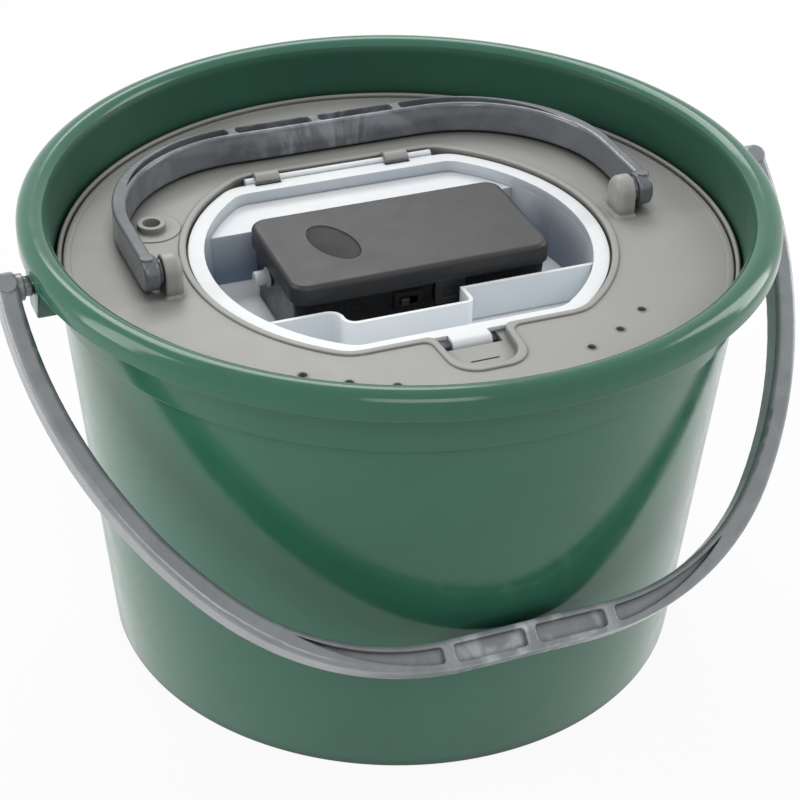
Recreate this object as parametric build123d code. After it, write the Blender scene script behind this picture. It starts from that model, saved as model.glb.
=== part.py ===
from build123d import *
import math
import os

# Aerated bait bucket: a pail with a drop bail, a perforated lift-out basket, a lid with its own
# carrying handle, and a hinged tray in the lid that holds a battery air pump.
# Millimetres. Origin at the middle of the bucket's foot, +Z up, both handles pivot about lines
# along X, and the front, where the tray's finger tab is, faces -Y.

# ---------------------------------------------------------------- driving sizes
seat_gap = 0.05              # between faces that rest on each other

# Bucket
bucket_height = 214.0
rim_radius = 165.0
roll_radius = 6.5            # half the width of the rolled rim
skirt_height = 11.6          # top of the rim down to the lower edge of its skirt
band_height = 35.0           # top of the rim down to the step under the basket's band
step_inset = 15.8            # how far the body at the step lies inside the rim's edge
body_draft = 15.8            # and how much further in it lies at the foot
step_rise = 1.2
wall = 2.4
floor_thickness = 2.6
foot_height = 3.0
foot_width = 5.0
base_round = 3.0
ledge_rise = 2.2             # the inner ledge lies this far above the outer step
lug_inset = 1.6              # the lugs run into the skirt and end this far inside its face
lug_width = 24.0
lug_height = 29.5            # top of the rim down to the lower edge of a lug
lug_shoulder = 4.0

# Bail of the bucket
bail_drop = 16.8             # top of the rim down to the pivots
bail_overreach = 32.7        # how far the grip's outer edge would pass the rim's when level
bail_side_gap = 4.7          # between the rim and an arm
bail_flat = 26.9             # half of the grip's straight length
bail_corner_angle = 40.0     # where the corner's arc hands over to the arm's arc
bail_straight = 4.2          # straight length of an arm below its pivot
bail_grip_depth = 13.0
bail_arm_depth = 9.1
bail_band = 14.0
bail_edge_round = 2.2
bail_grip_gap = 0.4          # left between the hanging grip and the bucket
hang_steps = 40              # rounds in which its angle is worked out
bail_pocket_depth = 3.4
bail_pocket_wall = 2.6
bail_web = 4.4
bail_web_pitch = 36.3
bail_pocket_round = 2.0
bail_pocket_end = 46.0       # angle at which the long pockets run out to a point
bail_mark_radius = 4.2       # flat round mark on each end, over the pivot
bail_ring_radius = 5.8
bail_ring = 2.6
bail_pin_radius = 3.5
bail_collar_radius = 4.3
bail_collar_gap = 0.3
bail_pin_length = 7.0
pin_clearance = 0.05
pin_end_gap = 0.6

# Basket
basket_bottom = 18.0
basket_wall = 1.8
basket_floor = 2.0
basket_bottom_gap = 6.1      # between the basket and the bucket's wall, at the bottom
basket_top_gap = 3.8         # and at the ledge
basket_corner = 6.0
basket_flange = 2.95
basket_bead_rise = 6.9
basket_bead_width = 2.2
basket_band_gap = 0.4
slot_rows = (46.0, 98.0)
slots_per_row = 18
slot_width = 6.0
slot_height = 38.0
floor_slots = 8
floor_slot_length = 46.0
floor_slot_middle = 70.0

# Lid
lid_edge_gap = 0.5
lid_thickness = 2.25
lid_recess_depth = 3.3
lid_recess_floor = 2.0
lid_lip_width = 3.2
lid_lip_height = 0.9
lid_lip_round = 0.8
lid_skirt_depth = 8.0
lid_skirt_wall = 1.8
lid_skirt_gap = 0.8
vent_radius = 1.8
vent_circle = 115.0
vent_angles = (21.7, 31.3, 40.9)
bushing_x = -98.9
bushing_y = 48.3
bushing_bore_radius = 4.0
bushing_radius = 6.2
bushing_height = 3.0
bushing_pad_radius = 13.0
bushing_pad_height = 0.4
scoop_half_width = 15.6
scoop_end_half_width = 13.6
scoop_reach = 28.5
scoop_corner = 12.6
scoop_flare = 4.0
scoop_mark_back = 9.0
scoop_mark_length = 12.5
scoop_mark_width = 0.9
scoop_mark_depth = 0.6
tab_slot_half_width = 12.5
tab_slot_reach = 8.0
boss_stand = 4.5             # from the seat's lip to an ear
boss_thickness = 8.2
boss_width = 15.0
boss_round = 3.6             # on the side that faces the tray
boss_edge = 1.0
boss_flare = 1.2

# Lid handle
handle_y = -5.0
handle_rise = 9.5            # pivot above the lid's plate
handle_end_gap = 1.8         # between an ear and the handle's end
handle_end_depth = 7.0       # the round ends are thicker than the arms
handle_arm_depth = 5.6
handle_grip_depth = 9.8
handle_reach = 108.6         # pivot to the outer edge of the grip
handle_band = 15.0
handle_corner_radius = 72.0
handle_inner_radius = 66.0
handle_edge_round = 1.5
handle_rest_gap = 0.3        # between the resting grip and the lid
handle_pocket_depth = 9.0
handle_pocket_wall = 1.9
handle_web = 4.0
handle_web_pitch = 40.8
handle_web_shift = -4.4
handle_pocket_round = 1.6
handle_pocket_end = 25.0     # angle at which the long pockets run out to a point
handle_mark_radius = 3.0     # flat round mark on each end, over the pivot
handle_pin_radius = 3.0
handle_collar_radius = 5.8
handle_collar_gap = 0.2
handle_pin_length = 7.0
quarter_turn = (90, 45, 0)   # angles at the start, middle and end of a handle's corner
mark_rise = 0.35
mark_depth = 3.0
ring_round = 0.5

# Tray door in the lid
door_side = 7.0              # width of the flange outside the tray, at the sides
door_ahead = 5.4             # in front
door_behind = 7.2            # and behind
door_corner = 16.0
door_gap = 1.0
door_thickness = 2.0
tray_wall = 1.8
tray_radius = 85.5
tray_front = -71.6
tray_back = 67.8
tray_corner = 13.0
tray_clearance = 0.9
tray_depth = 28.25           # depths are measured down from the flange's underside
tray_shelf_depth = 3.75
tray_shelf_edge = 43.0
divider_y = -37.4
divider_drop = 2.25
jog_front = -49.0
jog_left = -43.0
jog_right = 16.0
jog_soft_round = 4.5
jog_tight_round = 2.0
trough_depth = 19.25
trough_front_depth = 5.25
trough_slope_run = 20.0
hinge_reach = 2.8            # from the flange's back edge to the hinge rod
hinge_rod_radius = 1.9
hinge_clearance = 0.05
hinge_bar_end = 46.0
knuckle_radius = 4.1
knuckle_width = 11.4
knuckle_positions = (-35.7, 28.0)
knuckle_side_gap = 0.6
knuckle_mouth = 3.0
knuckle_recess_gap = 3.0
tab_half_width = 8.8
tab_reach = 6.6
tab_drop = 3.4
tab_thickness = 1.6
tray_draft = 1.9             # how far the tray's round sides come in towards the floor
fence_height = 8.0
fence_thickness = 1.6
fence_x = -66.0
fence_end_x = -59.5
fence_y = -8.0

# Air pump
pump_left = -59.0
pump_front = -30.0
pump_rear = 35.0
pump_height = 35.45
pump_corner = 8.0
pump_top_round = 2.6
cover_height = 9.0
cover_wall = 3.4
cover_roof = 2.0
case_inset = 1.6
case_wall = 2.0
case_taper = 4.0
gasket_width = 1.9
gasket_height = 1.2
badge_x = -29.4
badge_y = 3.6
badge_half_length = 16.5
badge_half_width = 9.2
badge_tilt = 14.0
badge_depth = 0.6
latch_x = 12.1
latch_width = 13.8
latch_drop = 11.0
latch_thickness = 1.4
latch_gap = 0.4

# Nozzle and outlet tube
nozzle_y = 10.0
nozzle_height = 19.95        # above the pump's underside
nozzle_radius = 3.3
nozzle_tip_round = 0.9
nozzle_bore = 0.7
nozzle_reach = 5.8
nozzle_flange_radius = 4.4
nozzle_flange = 0.8
spigot_radius = 1.3
spigot_length = 3.4
tube_wall = 0.9
tube_gap = 0.03
tube_bend = 3.0

# Switch
switch_x = -6.8
switch_height = 19.95        # above the pump's underside
switch_travel = 4.0
switch_bezel_width = 13.5
switch_bezel_height = 8.4
switch_bezel_proud = 1.1
switch_bezel_depth = 4.0
switch_knob_width = 3.6
switch_knob_height = 3.2
switch_knob_proud = 1.4
switch_gap = 0.3
switch_plate_width = 7.0
switch_plate_height = 6.4
switch_plate = 1.2

# Cells and contacts
cell_radius = 13.1
cell_length = 48.0
cell_edge = 0.8
cell_nub_radius = 3.4
cell_nub = 1.6
cell_gap = 0.8
bay_wall_gap = 18.7          # from the motor's axis to the wall between it and the cells
bay_wall = 1.5
bay_wall_height = 22.95      # above the pump's underside
cell_lead = 4.0              # from that wall's near face to the cells
bridge_backing = 4.75        # from the contact bridge to the housing's end
contact_thickness = 0.4
contact_width = 12.0
contact_height = 16.0
contact_dimple_radius = 3.0
bridge_width = 38.0

# Motor, crank and diaphragm head
motor_radius = 10.0
motor_flats = 15.0
motor_length = 24.0
motor_gap = 24.0             # from the air head's face to the motor's axis
motor_front = 0.5
motor_height = 15.45         # above the pump's underside
motor_boss_radius = 3.0
motor_boss = 1.5
motor_rib = 2.0
shaft_radius = 1.0
shaft_reach = 9.5
shaft_depth = 20.0
shaft_clearance = 0.05
press_gap = 0.02
crank_radius = 5.5
crank_thickness = 2.6
crank_throw = 0.5
crank_pin_radius = 1.2
crank_pin_length = 3.4
rod_gap = 0.4
rod_thickness = 2.0
rod_eye_wall = 1.6
rod_stem_radius = 1.5
rod_end_gap = 0.8            # between the stem and the diaphragm's boss
rod_clearance = 0.15
head_gap = 8.4               # from the housing's left face to the air head
head_depth = 6.5
head_half = 10.6
head_corner = 3.0
head_chamber_radius = 8.0
head_chamber_depth = 3.2
head_port = 2.4              # from the head's back to its outlet
cap_thickness = 2.0
cap_well_radius = 3.2
cap_boss_radius = 4.6
cap_guide_length = 4.0
cap_boss_reach = 8.0         # from the head's face
diaphragm_radius = 9.6
diaphragm_rim = 1.6
diaphragm_rim_width = 1.6
diaphragm_sheet = 0.8
diaphragm_boss_radius = 2.5
diaphragm_boss_reach = 1.1   # from the head's face
clamp_thickness = 1.5
clamp_width = 8.0
clamp_foot = 5.0
clamp_gap = 0.1
clamp_y = 12.5
screw_head_radius = 1.7
screw_head_height = 1.2
screw_radius = 0.9
screw_length = 4.0
head_screw_pitch = 8.4

# ---------------------------------------------------------------- worked out from the sizes
skirt_bottom = bucket_height - skirt_height
step_height = bucket_height - band_height
step_radius = rim_radius - step_inset
base_radius = step_radius - body_draft
wall_slope = body_draft / step_height
lug_reach = rim_radius - lug_inset
lug_bottom = bucket_height - lug_height
bail_z = bucket_height - bail_drop
bail_reach = rim_radius + bail_overreach
bail_half_width = rim_radius + bail_side_gap + bail_arm_depth
roll_z = bucket_height - roll_radius
rim_middle = rim_radius - roll_radius
rim_inner = rim_radius - 2 * roll_radius
floor_z = foot_height + floor_thickness
ledge_z = step_height + ledge_rise
bail_hole_end = lug_reach - bail_collar_gap - bail_pin_length - pin_end_gap
basket_seat = ledge_z + seat_gap
basket_top_radius = base_radius + wall_slope * ledge_z - wall - basket_top_gap
basket_bottom_radius = base_radius + wall_slope * basket_bottom - wall - basket_bottom_gap
lid_bottom = basket_seat + basket_flange + seat_gap
lid_top = lid_bottom + lid_thickness
recess_z = lid_top - lid_recess_depth
door_bottom = recess_z + seat_gap
door_top = door_bottom + door_thickness
door_radius = tray_radius + door_side
door_front = tray_front - door_ahead
door_back = tray_back + door_behind
tray_floor_z = door_bottom - tray_depth
tray_shelf_z = door_bottom - tray_shelf_depth
divider_top = door_bottom - divider_drop
trough_floor_z = door_bottom - trough_depth
trough_front_z = door_bottom - trough_front_depth
hinge_y = door_back + hinge_reach
recess_back = hinge_y + knuckle_recess_gap
hinge_z = door_bottom + hinge_rod_radius
boss_inner = door_radius + door_gap + lid_lip_width + boss_stand
boss_outer = boss_inner + boss_thickness
handle_half_width = boss_outer + handle_end_gap + handle_end_depth
handle_z = lid_top + handle_rise
handle_lay = math.degrees(math.asin(
    (handle_rise - handle_band / 2 - handle_rest_gap) / handle_reach))
pump_bottom = tray_floor_z + seat_gap
pump_top = pump_bottom + pump_height
nozzle_z = pump_bottom + nozzle_height
switch_z = pump_bottom + switch_height
motor_z = pump_bottom + motor_height
cover_bottom = pump_top - cover_height
case_top = cover_bottom - gasket_height
case_left = pump_left + case_inset
head_left = case_left + head_gap
head_right = head_left + head_depth
head_port_x = head_left + head_port
cap_boss_end = head_right + cap_boss_reach
diaphragm_boss_end = head_right + diaphragm_boss_reach
rod_stem_end = diaphragm_boss_end + rod_end_gap
motor_x = head_right + motor_gap
bay_wall_x = motor_x + bay_wall_gap
bay_wall_top = pump_bottom + bay_wall_height
cell_x = bay_wall_x + cell_lead
cell_end = cell_x + cell_length
bridge_back = cell_end + cell_nub + 2 * contact_thickness + seat_gap
case_right = bridge_back + bridge_backing
pump_right = case_right + case_inset
case_front = pump_front + case_inset
case_rear = pump_rear - case_inset
case_floor = pump_bottom + case_wall
taper_run = math.tan(math.radians(case_taper))
switch_face = case_front - switch_bezel_proud
switch_back = switch_face + switch_bezel_depth
cells_middle = (pump_front + pump_rear) / 2
cell_pitch = 2 * cell_radius + cell_gap
cell_z = case_floor + cell_radius + seat_gap
bay_face = bay_wall_x + bay_wall
shaft_tip = motor_front - motor_boss - shaft_reach
rod_back = shaft_tip - rod_gap
rod_y = rod_back - rod_thickness / 2
rod_eye = crank_pin_radius + 2 * crank_throw + rod_clearance
clamp_foot_z = motor_z
cap_left = head_right + seat_gap
cap_right = cap_left + cap_thickness


def wall_radius(z):
    """Outer radius of the tapered body at a height."""
    return base_radius + wall_slope * z


def band_radius(z):
    """Outer radius of the wider band under the rim at a height."""
    return rim_inner + wall + wall_slope * (z - roll_z)


def turned(profile):
    """A profile drawn in radius and height, turned about Z."""
    return revolve(Plane.XZ * make_face(profile), Axis.Z)


def block(x0, x1, y0, y1, z0, z1):
    """A box between two corners."""
    middle = Pos((x0 + x1) / 2, (y0 + y1) / 2, (z0 + z1) / 2)
    return middle * Box(abs(x1 - x0), abs(y1 - y0), abs(z1 - z0))


def bar_x(radius, x0, x1, y, z):
    """A round bar along X."""
    return Pos((x0 + x1) / 2, y, z) * Rot(0, 90, 0) * Cylinder(radius, abs(x1 - x0))


def bar_y(radius, y0, y1, x, z):
    """A round bar along Y."""
    return Pos(x, (y0 + y1) / 2, z) * Rot(90, 0, 0) * Cylinder(radius, abs(y1 - y0))


def slab(sheet, z0, z1):
    """A flat outline raised between two heights."""
    return Pos(0, 0, z0) * extrude(sheet, z1 - z0)


def dish(radius, front, back, corner):
    """A circle cut off by two chords, with its four corners rounded."""
    sheet = Circle(radius) & Pos(0, (front + back) / 2) * Rectangle(2 * radius, back - front)
    ends = [v for v in sheet.vertices() if min(abs(v.Y - front), abs(v.Y - back)) < 0.01]
    return fillet(ends, corner)


def on_arc(centre, radius, angle):
    """A point on an arc, its angle in degrees from the X axis."""
    turn = math.radians(angle)
    return (centre[0] + radius * math.cos(turn), centre[1] + radius * math.sin(turn))


# ---------------------------------------------------------------- bucket
def bucket_space():
    """What the bucket's walls enclose, with the ledge for the basket."""
    low = wall_radius(floor_z) - wall
    return turned(Polyline(
        (0, floor_z), (low - base_round, floor_z), (low, floor_z + base_round),
        (wall_radius(ledge_z) - wall, ledge_z), (band_radius(ledge_z) - wall, ledge_z),
        (rim_inner, roll_z), (rim_inner, bucket_height + wall),
        (0, bucket_height + wall), close=True))


def outer_bucket():
    """Moulded pail: foot ring, tapered body, band, rolled rim with a skirt, two pivot lugs."""
    foot = base_radius - foot_width
    hollow = roll_radius - wall
    chamfer = base_round / 2
    step_top = step_height + step_rise
    body = turned([
        Polyline((rim_inner, roll_z), (0, roll_z), (0, foot_height), (foot, foot_height),
                 (foot, 0), (base_radius - chamfer, 0), (wall_radius(chamfer), chamfer),
                 (step_radius, step_height), (band_radius(step_top), step_top),
                 (rim_middle - hollow, roll_z)),
        ThreePointArc((rim_middle - hollow, roll_z), (rim_middle, roll_z + hollow),
                      (rim_middle + hollow, roll_z)),
        Polyline((rim_middle + hollow, roll_z), (rim_radius - wall, skirt_bottom),
                 (rim_radius, skirt_bottom), (rim_radius, roll_z)),
        ThreePointArc((rim_radius, roll_z), (rim_middle, bucket_height), (rim_inner, roll_z)),
    ])
    half = lug_width / 2
    shoulder = skirt_bottom - lug_shoulder
    top = roll_z - hollow / 4
    lug = make_face(Polyline((-half, top), (-half, shoulder), (-half / 2, lug_bottom),
                             (half / 2, lug_bottom), (half, shoulder), (half, top), close=True))
    for side in (-1, 1):
        body += extrude(Plane.YZ * lug, side * lug_reach)
        body -= bar_x(bail_pin_radius + pin_clearance, side * rim_radius, side * bail_hole_end,
                      0, bail_z)
    return body - bucket_space()


# ---------------------------------------------------------------- handles
def u_face(outer, inner):
    """A U-shaped band hanging down: each side is its flat's end, then arcs, then the arm's end."""
    def side(points):
        edges = [Line((0, points[0][1]), points[0])]
        for start, middle, end in zip(points[0:-2:2], points[1:-1:2], points[2::2]):
            edges.append(ThreePointArc(start, middle, end))
        edges.append(Line(points[-1], (points[-1][0], 0)))
        return edges
    half = make_face(side(outer) + side(inner) + [
        Line((0, outer[0][1]), (0, inner[0][1])),
        Line((outer[-1][0], 0), (inner[-1][0], 0))])
    return half + mirror(half, Plane.YZ)


def pockets(field, reach, corner, corner_radius, arm, rim, webs, web, round_size, end_angle):
    """The hollows in a grip: a field inside its rim, cut up by webs, the outer two pointed.

    The outer edge of an end pocket is an arc that starts along the grip's flat and closes in on
    the inner edge at the end angle. A rounded corner takes at most half of the edge beside it.
    """
    tip = on_arc((corner, corner_radius - reach), corner_radius - arm, -end_angle)
    run = tip[0] - corner
    rise = tip[1] + reach - rim
    taper = (run ** 2 + rise ** 2) / (2 * rise)
    lens = Pos(corner, rim - reach + taper) * Circle(taper)
    grip = field & (lens + mirror(lens, Plane.YZ) + Rectangle(2 * corner, 2 * reach))
    for x in webs:
        grip -= Pos(x, -reach / 2) * Rectangle(web, reach)
    sides = [x + side * web / 2 for x in webs for side in (-1, 1)]
    places = [v.center() for v in grip.vertices() if min(abs(v.X - x) for x in sides) < 0.01]
    for place in places:
        beside = [e.length for e in grip.edges()
                  if min((e @ 0 - place).length, (e @ 1 - place).length) < 0.01]
        at_place = grip.vertices().sort_by_distance(place)[0]
        grip = fillet(at_place, min(round_size, min(beside) / 2))
    return grip


def bail_hang_angle():
    """Angle from straight down at which the hanging grip meets the bucket's wall."""
    inner = bail_reach - bail_grip_depth
    angle = math.asin(wall_radius(0) / inner)
    for step in range(hang_steps):
        z = bail_z - inner * math.cos(angle) - bail_band / 2 * math.sin(angle)
        needed = wall_radius(z) + bail_grip_gap + bail_band / 2 * math.cos(angle)
        angle = math.asin(needed / inner)
    return math.degrees(angle)


def bail_corner_radius():
    """Corner radius with which the arm's own arc comes out upright just below the pivot."""
    turn = math.radians(bail_corner_angle)
    across, down = math.cos(turn), math.sin(turn)
    lean = down / (1 - across)
    height = bail_reach - bail_straight - lean * (bail_half_width - bail_flat)
    return height / (1 - down - lean * across)


def bail_outlines(rim=0):
    """Outer and inner curves of the bail, a rim in from its edges, in X and below the pivots."""
    turn = math.radians(bail_corner_angle)
    across, down = math.cos(turn), math.sin(turn)
    corner_radius = bail_corner_radius()
    centre = (bail_flat, bail_reach - corner_radius)
    join = on_arc(centre, corner_radius, bail_corner_angle)
    arm_radius = (bail_half_width - join[0]) / (1 - across)
    arm_centre = (join[0] - arm_radius * across, join[1] - arm_radius * down)
    arm_inner = arm_radius - bail_arm_depth
    inner_join = on_arc(arm_centre, arm_inner, bail_corner_angle)
    inner_radius = (bail_reach - bail_grip_depth - inner_join[1]) / (1 - down)
    inner_centre = (inner_join[0] - inner_radius * across, inner_join[1] - inner_radius * down)
    half_corner = (90 + bail_corner_angle) / 2
    corner_turn = (90, half_corner, bail_corner_angle)
    arm_turn = (bail_corner_angle / 2, 0)
    outer = [on_arc(centre, corner_radius - rim, a) for a in corner_turn]
    outer += [on_arc(arm_centre, arm_radius - rim, a) for a in arm_turn]
    inner = [on_arc(inner_centre, inner_radius + rim, a) for a in corner_turn]
    inner += [on_arc(arm_centre, arm_inner + rim, a) for a in arm_turn]
    return [(x, -s) for x, s in outer], [(x, -s) for x, s in inner]


def handle_outlines(rim=0):
    """Outer and inner curves of the lid handle, a rim in from its edges, below the pivots."""
    outer_centre = (handle_half_width - handle_corner_radius, handle_reach - handle_corner_radius)
    arm_inner = handle_half_width - handle_arm_depth
    inner_reach = handle_reach - handle_grip_depth
    inner_centre = (arm_inner - handle_inner_radius, inner_reach - handle_inner_radius)
    outer = [on_arc(outer_centre, handle_corner_radius - rim, a) for a in quarter_turn]
    inner = [on_arc(inner_centre, handle_inner_radius + rim, a) for a in quarter_turn]
    return [(x, -s) for x, s in outer], [(x, -s) for x, s in inner]


def carrying_handle(outlines, band, edge_round, pocket_depth, grip, ends, mark, collar, pin):
    """A moulded U handle in its own plane: X across, -Y to the grip, Z through the band.

    ends is the outer face and thickness of the round ends, mark is the radius and place of the
    flat mark on each, collar is the radius and end of each of the stepped rings on them, and pin
    is the radius and end of the pins.
    """
    face = u_face(*outlines)
    body = Pos(0, 0, -band / 2) * extrude(face, band)
    long_edges = [e for e in body.edges() if abs(abs(e.center().Z) - band / 2) < 0.01
                  and e.center().Y < -edge_round and abs(e.center().X) > 0.01]
    body = fillet(long_edges, edge_round)
    body -= Pos(0, 0, band / 2 - pocket_depth) * extrude(grip, 2 * pocket_depth)
    outside, thickness = ends
    mark_radius, mark_x = mark
    inside = outside - thickness
    for side in (-1, 1):
        end = bar_x(band / 2, side * outside, side * inside, 0, 0)
        body += fillet(end.edges().filter_by(GeomType.CIRCLE), edge_round)
        mark_z = band / 2 + mark_rise - mark_depth / 2
        body += Pos(side * mark_x, 0, mark_z) * Cylinder(mark_radius, mark_depth)
        for radius, reach in collar:
            ring = bar_x(radius, side * (inside + ring_round), side * reach, 0, 0)
            tip = ring.edges().filter_by(GeomType.CIRCLE).sort_by(Axis.X)[0 if side > 0 else -1]
            body += fillet(tip, ring_round)
        radius, reach = pin
        body += bar_x(radius, side * inside, side * reach, 0, 0)
    return body


def outer_bail():
    """Moulded bail of the bucket, hanging at the front against the wall."""
    grip = pockets(
        u_face(*bail_outlines(bail_pocket_wall)), bail_reach, bail_flat, bail_corner_radius(),
        bail_arm_depth, bail_pocket_wall, (-bail_web_pitch, 0, bail_web_pitch), bail_web,
        bail_pocket_round, bail_pocket_end)
    collar_end = lug_reach + bail_collar_gap
    ring_end = bail_half_width - bail_arm_depth - bail_ring
    flat = carrying_handle(
        bail_outlines(), bail_band, bail_edge_round, bail_pocket_depth, grip,
        (bail_half_width, bail_arm_depth),
        (bail_mark_radius, bail_half_width - bail_arm_depth / 2),
        ((bail_ring_radius, ring_end), (bail_collar_radius, collar_end)),
        (bail_pin_radius, collar_end - bail_pin_length))
    # the flat drawing hangs along -Y with its pockets up: turn it down until it meets the wall
    return Pos(0, 0, bail_z) * Rot(90 - bail_hang_angle(), 0, 0) * flat


def lid_handle():
    """Moulded carrying handle of the lid, lying back on the lid."""
    webs = [k * handle_web_pitch - handle_web_shift for k in (-1, 0, 1)]
    grip = pockets(
        u_face(*handle_outlines(handle_pocket_wall)), handle_reach,
        handle_half_width - handle_corner_radius, handle_corner_radius, handle_arm_depth,
        handle_pocket_wall, webs, handle_web, handle_pocket_round, handle_pocket_end)
    collar_end = boss_outer + handle_collar_gap
    flat = carrying_handle(
        handle_outlines(), handle_band, handle_edge_round, handle_pocket_depth, grip,
        (handle_half_width, handle_end_depth),
        (handle_mark_radius, handle_half_width - handle_arm_depth / 2),
        ((handle_collar_radius, collar_end),),
        (handle_pin_radius, collar_end - handle_pin_length))
    # turned half round to lie towards the back, and down until it meets the lid
    return Pos(0, handle_y, handle_z) * Rot(-handle_lay, 0, 0) * Rot(0, 0, 180) * flat


# ---------------------------------------------------------------- basket
def basket_wall_radius(z):
    """Outer radius of the basket's wall at a height."""
    share = (z - basket_bottom) / (basket_seat - basket_bottom)
    return basket_bottom_radius + (basket_top_radius - basket_bottom_radius) * share


def bait_basket():
    """Perforated basket that hangs by its flange on the bucket's ledge, with a beaded rim."""
    edge = band_radius(basket_seat) - wall - basket_band_gap
    bead_top = basket_seat + basket_bead_rise
    bead_inner = edge - basket_bead_width
    flange_top = basket_seat + basket_flange
    floor_top = basket_bottom + basket_floor
    corner_z = basket_bottom + basket_corner
    low = basket_wall_radius(corner_z)
    body = turned([
        Polyline((bead_inner, bead_top - basket_bead_width / 2), (bead_inner, flange_top),
                 (basket_top_radius - basket_wall, flange_top),
                 (low - basket_wall, corner_z),
                 (basket_bottom_radius - basket_corner - basket_wall / 2, floor_top),
                 (0, floor_top), (0, basket_bottom),
                 (basket_bottom_radius - basket_corner, basket_bottom), (low, corner_z),
                 (basket_top_radius, basket_seat), (edge, basket_seat),
                 (edge, bead_top - basket_bead_width / 2)),
        ThreePointArc((edge, bead_top - basket_bead_width / 2),
                      (edge - basket_bead_width / 2, bead_top),
                      (bead_inner, bead_top - basket_bead_width / 2)),
    ])
    cuts = []
    for row, middle in enumerate(slot_rows):
        for k in range(slots_per_row):
            angle = (k + row / 2) * 360 / slots_per_row
            slot = Pos(basket_top_radius, 0, middle + slot_height / 2)
            cuts.append(Rot(0, 0, angle) * slot * Box(basket_top_radius, slot_width, slot_height))
    for k in range(floor_slots):
        slot = Pos(floor_slot_middle, 0, basket_bottom)
        cuts.append(Rot(0, 0, (k + 0.5) * 360 / floor_slots) * slot
                    * Box(floor_slot_length, slot_width, 4 * basket_floor))
    return body - cuts


# ---------------------------------------------------------------- lid
def scoop_outline(grow):
    """Tongue-shaped finger recess in front of the tray, made larger all round by an amount."""
    start = door_front + door_corner
    front = door_front - scoop_reach - grow
    wide = scoop_half_width + grow
    end = scoop_end_half_width + grow
    sheet = make_face(Polyline((-wide, start), (-wide, door_front), (-end, front), (end, front),
                               (wide, door_front), (wide, start), close=True))
    rounded = [v for v in sheet.vertices() if abs(v.Y - front) < 0.01]
    return fillet(rounded, scoop_corner)


def recess_outline(grow):
    """The sunk seat of the tray door, with its finger scoop."""
    front = door_front - door_gap - grow
    seat = dish(door_radius + door_gap + grow, front, recess_back + grow,
                door_corner + door_gap + grow)
    sheet = seat + scoop_outline(grow)
    throat = [v for v in sheet.vertices() if abs(v.Y - front) < 0.01
              and abs(v.X) < scoop_half_width + 2 * grow + door_gap]
    return fillet(throat, scoop_flare)


def hinge_knuckle(x):
    """Snap clip over the tray's hinge rod, with its mouth to the front."""
    ring = bar_x(knuckle_radius, x - knuckle_width / 2, x + knuckle_width / 2, hinge_y, hinge_z)
    foot = block(x - knuckle_width / 2, x + knuckle_width / 2, hinge_y,
                 recess_back + lid_thickness, hinge_z - knuckle_radius, lid_top)
    bore = bar_x(hinge_rod_radius + hinge_clearance, x - knuckle_width, x + knuckle_width,
                 hinge_y, hinge_z)
    mouth = block(x - knuckle_width, x + knuckle_width, hinge_y - 2 * knuckle_radius, hinge_y,
                  hinge_z - knuckle_mouth / 2, hinge_z + knuckle_mouth / 2)
    return ring + foot - bore - mouth


def handle_boss(side):
    """Upright arched ear on the lid that takes a handle pin, domed towards the tray."""
    half = boss_width / 2
    arch = make_face([
        Polyline((-half, handle_z), (-half, lid_bottom), (half, lid_bottom), (half, handle_z)),
        ThreePointArc((half, handle_z), (0, handle_z + half), (-half, handle_z))])
    ear = extrude(Plane.YZ * arch, boss_thickness)
    ear = fillet(ear.faces().sort_by(Axis.X)[0].edges().sort_by(Axis.Z)[1:], boss_round)
    ear = fillet(ear.faces().sort_by(Axis.X)[-1].edges().sort_by(Axis.Z)[1:], boss_edge)
    base = RectangleRounded(boss_thickness + 2 * boss_flare, boss_width + 2 * boss_flare,
                            boss_flare + boss_edge)
    ear += Pos(boss_thickness / 2, 0, lid_top - seat_gap) * extrude(base, boss_flare, taper=45)
    ear = Pos(boss_inner, handle_y, 0) * ear
    return ear if side > 0 else mirror(ear, Plane.YZ)


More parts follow.
